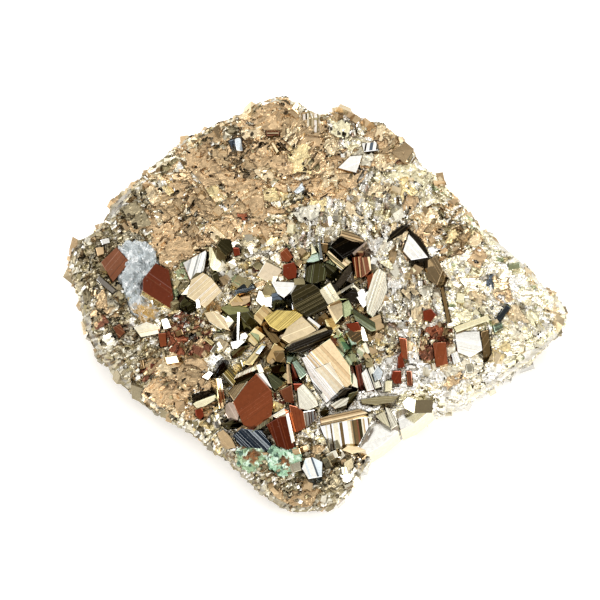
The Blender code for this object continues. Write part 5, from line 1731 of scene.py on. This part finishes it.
def pyriteFinish(name, metal, polish, grainSize, bumpDepth, mottle):
    # pyrite, a brassy metal: colour from each face's tint, which is tarnish with some painted shade
    # and highlight, mottled by fine noise and lifted by pale flecks where another noise is highest;
    # its roughness is the face's own polish, wandering a little; a shallow bump of the grain size
    # breaks reflections
    made, tree = newMaterial(name)
    place = node(tree, "TexCoord").outputs["Object"]
    tint = node(tree, "Attribute", {"attribute_name": "tint"}).outputs["Color"]
    scale = 1.0 / (grainSize * mm)
    fine = node(tree, "TexNoise", {"Scale": scale, "Detail": 3.0, "Roughness": 0.6},
                {"Vector": place}).outputs["Fac"]
    broad = node(tree, "TexNoise", {"Scale": scale * 0.2, "Detail": 2.0},
                 {"Vector": place}).outputs["Fac"]
    darker = node(tree, "MapRange",
                  {"From Min": 0.3, "From Max": 0.7,
                   "To Min": 1.0 - mottle, "To Max": 1.0 + mottle},
                  {"Value": fine}).outputs["Result"]
    colour = node(tree, "VectorMath", {"operation": "SCALE"},
                  {0: tint, "Scale": darker}).outputs["Vector"]
    specks = node(tree, "TexNoise", {"Scale": scale * 2.2, "Detail": 1.0},
                  {"Vector": place}).outputs["Fac"]
    paleFlecks = node(tree, "MapRange", {"From Min": 0.72, "From Max": 0.80, "To Max": 0.22},
                {"Value": specks}).outputs["Result"]
    colour = node(tree, "VectorMath", {"operation": "ADD"},
                  {0: colour, 1: paleFlecks}).outputs["Vector"]
    own = node(tree, "Attribute", {"attribute_name": "polish"}).outputs["Fac"]
    swing = node(tree, "MapRange",
                 {"From Min": 0.3, "From Max": 0.7, "To Min": polish * 0.7, "To Max": polish * 1.3},
                 {"Value": broad}).outputs["Result"]
    rough = node(tree, "Math", {"operation": "MULTIPLY"}, {0: own, 1: swing}).outputs[0]
    bump = node(tree, "Bump", {"Strength": 1.0, "Distance": bumpDepth * mm},
                {"Height": fine}).outputs["Normal"]
    shader = node(tree, "BsdfPrincipled", {"Metallic": metal},
                  {"Base Color": colour, "Roughness": rough, "Normal": bump})
    node(tree, "OutputMaterial", None, {"Surface": shader.outputs["BSDF"]})
    return made


def stoneFinish(name, roughness, ior, transmission, bumpDepth):
    # quartz or crust: colour from each face's tint, clouded by noise; not a metal
    made, tree = newMaterial(name)
    place = node(tree, "TexCoord").outputs["Object"]
    tint = node(tree, "Attribute", {"attribute_name": "tint"}).outputs["Color"]
    cloud = node(tree, "TexNoise", {"Scale": 900.0, "Detail": 4.0, "Roughness": 0.7},
                 {"Vector": place}).outputs["Fac"]
    paler = node(tree, "MapRange",
                 {"From Min": 0.35, "From Max": 0.65, "To Min": 0.75, "To Max": 1.2},
                 {"Value": cloud}).outputs["Result"]
    colour = node(tree, "VectorMath", {"operation": "SCALE"},
                  {0: tint, "Scale": paler}).outputs["Vector"]
    bump = node(tree, "Bump", {"Strength": 1.0, "Distance": bumpDepth * mm},
                {"Height": cloud}).outputs["Normal"]
    shader = node(tree, "BsdfPrincipled",
                  {"Roughness": roughness, "IOR": ior, "Transmission Weight": transmission},
                  {"Base Color": colour, "Normal": bump})
    node(tree, "OutputMaterial", None, {"Surface": shader.outputs["BSDF"]})
    return made


# name, how metallic, a factor on each face's polish, grain and bump in mm, how mottled:
# grown cube faces are bright mirrors, and broken ground is dustier, a rough glitter
grownFace = pyriteFinish("pyriteGrownFace", 1.0, 0.5, 0.6, 0.004, 0.09)
brokenFace = pyriteFinish("pyriteBroken", 0.72, 1.0, 0.35, 0.012, 0.10)
# name, roughness, IOR, transmission, bump in mm
milky = stoneFinish("quartzMilky", 0.22, 1.544, 0.3, 0.03)  # milky quartz: clouded and glassy
crust = stoneFinish("malachiteCrust", 0.85, 1.65, 0.0, 0.08)  # powdery copper green


def settle(piece, material, slot, *nodes):
    # gives a piece its material and says what it rides on and stands for
    piece.data.materials.append(material)
    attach(piece, "root")
    if nodes:
        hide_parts(*nodes)


settle(massPiece, brokenFace, "pyrite", "pyrite")
settle(cubes, grownFace, "pyrite")
settle(smallPiece, grownFace, "pyrite")
settle(backPiece, brokenFace, "pyrite")
for piece in groundPieces + grainPieces:
    settle(piece, brokenFace, "pyrite")
settle(quartzPiece, milky, "quartz", "quartz")
settle(greenPieces[0], crust, "malachite", "malachite_left")
settle(greenPieces[1], crust, "malachite", "malachite_right")

studio = {
    "floorSize": 3000.0, "floor": "fbfbfa", "floorRough": 0.9, "floorGlow": 0.3,
    "sky": (1.0, 0.99, 0.97), "strength": 1.22,
    "lobes": [  # azimuth (0 in front, + to the right), elevation, reach, colour
        (0.0, 38.0, 20.0, (0.62, 0.50, 0.40)),  # the warm room behind the viewer
        (90.0, 62.0, 16.0, (0.16, 0.15, 0.13)),  # dark gaps between the soft boxes
        (-78.0, 60.0, 15.0, (0.30, 0.29, 0.27)),
        (35.0, 14.0, 12.0, (0.22, 0.20, 0.18)),
        (150.0, 22.0, 18.0, (0.35, 0.34, 0.32)),
    ],
    "lobeEdge": (1.3, 0.7),  # where a lobe ends and where it is full, as shares of its reach
    "boxes": [  # azimuth, elevation, distance, size in mm, watts and colour
        (62.0, 30.0, 700.0, 320.0, 1.5, (1.0, 0.99, 0.97)),
        (-60.0, 28.0, 700.0, 260.0, 1.0, (1.0, 0.99, 0.98)),
        (170.0, 55.0, 700.0, 380.0, 1.4, (1.0, 0.98, 0.95)),
    ],
}


def aimed(azimuth, elevation):
    # unit vector towards a direction given by its azimuth from the front and its elevation
    across, high = math.radians(azimuth), math.radians(elevation)
    return np.array([math.sin(across) * math.cos(high), -math.cos(across) * math.cos(high),
                     math.sin(high)])


def makeWorld():
    # an even pale sky, with soft lobes mixed over it by the angle to each lobe's middle
    world = bpy.data.worlds.new("studio")
    bpy.context.scene.world = world
    world.use_nodes = True
    tree = world.node_tree
    tree.nodes.clear()
    way = node(tree, "TexCoord").outputs["Generated"]
    sky = studio["sky"]
    colour = None
    ends, full = studio["lobeEdge"]
    for azimuth, elevation, reach, tone in studio["lobes"]:
        middle = aimed(azimuth, elevation)
        near = node(tree, "VectorMath", {"operation": "DOT_PRODUCT", 1: tuple(middle)},
                    {0: way}).outputs["Value"]
        share = node(tree, "MapRange",
                     {"interpolation_type": "SMOOTHSTEP",
                      "From Min": math.cos(math.radians(reach * ends)),
                      "From Max": math.cos(math.radians(reach * full))},
                     {"Value": near}).outputs["Result"]
        mixed = node(tree, "Mix", {"data_type": "RGBA"}, {0: share})
        mixed.inputs[6].default_value = (*sky, 1.0)
        if colour is not None:
            tree.links.new(colour, mixed.inputs[6])
        mixed.inputs[7].default_value = (*tone, 1.0)
        colour = mixed.outputs[2]
    back = node(tree, "Background", {"Strength": studio["strength"]}, {"Color": colour})
    node(tree, "OutputWorld", None, {"Surface": back.outputs["Background"]})


def makeBox(azimuth, elevation, distance, size, watts, colour):
    # a square soft box at its distance from aim, turned to face it
    light = bpy.data.lights.new("softBox", "AREA")
    light.shape = "SQUARE"
    light.size = size * mm
    light.energy = watts
    light.color = colour
    made = bpy.data.objects.new("softBox", light)
    bpy.context.scene.collection.objects.link(made)
    way = aimed(azimuth, elevation)
    made.location = (aim + way * distance) * mm
    made.rotation_euler = Vector(way).to_track_quat("Z", "Y").to_euler()


def makeFloor():
    # a pale square at the foot's height, lit a little from itself so that shadows stay light
    half = studio["floorSize"] / 2
    points = np.array([(-half, -half, 0), (half, -half, 0), (half, half, 0), (-half, half, 0)])
    floor = makeMesh("floor", points.astype(float), np.array([[0, 1, 2, 3]]))
    made, tree = newMaterial("paperSweep")
    shader = node(tree, "BsdfPrincipled",
                  {"Base Color": (*linear(studio["floor"]), 1.0), "Roughness": studio["floorRough"],
                   "Emission Color": (1.0, 1.0, 1.0, 1.0),
                   "Emission Strength": studio["floorGlow"]})
    node(tree, "OutputMaterial", None, {"Surface": shader.outputs["BSDF"]})
    floor.data.materials.append(made)


framing = {"middle": (-3.42, 0.90), "scale": 5.55, "pixels": 600, "sensor": 36.0,
           "clip": 0.01}


def makeCamera():
    # looks along the sight line; its lens puts scale pixels to the mm at aim
    data = bpy.data.cameras.new("camera")
    data.sensor_width = framing["sensor"]
    data.lens = framing["scale"] * sight["distance"] / framing["pixels"] * framing["sensor"]
    data.clip_start = framing["clip"]
    made = bpy.data.objects.new("camera", data)
    bpy.context.scene.collection.objects.link(made)
    made.location = (eye + right * framing["middle"][0] + up * framing["middle"][1]) * mm
    made.rotation_euler = Vector(toward).to_track_quat("Z", "Y").to_euler()
    bpy.context.scene.camera = made


makeFloor()
makeWorld()
for box in studio["boxes"]:
    makeBox(*box)
makeCamera()
bpy.context.scene.view_settings.view_transform = "Standard"
print("studio set")
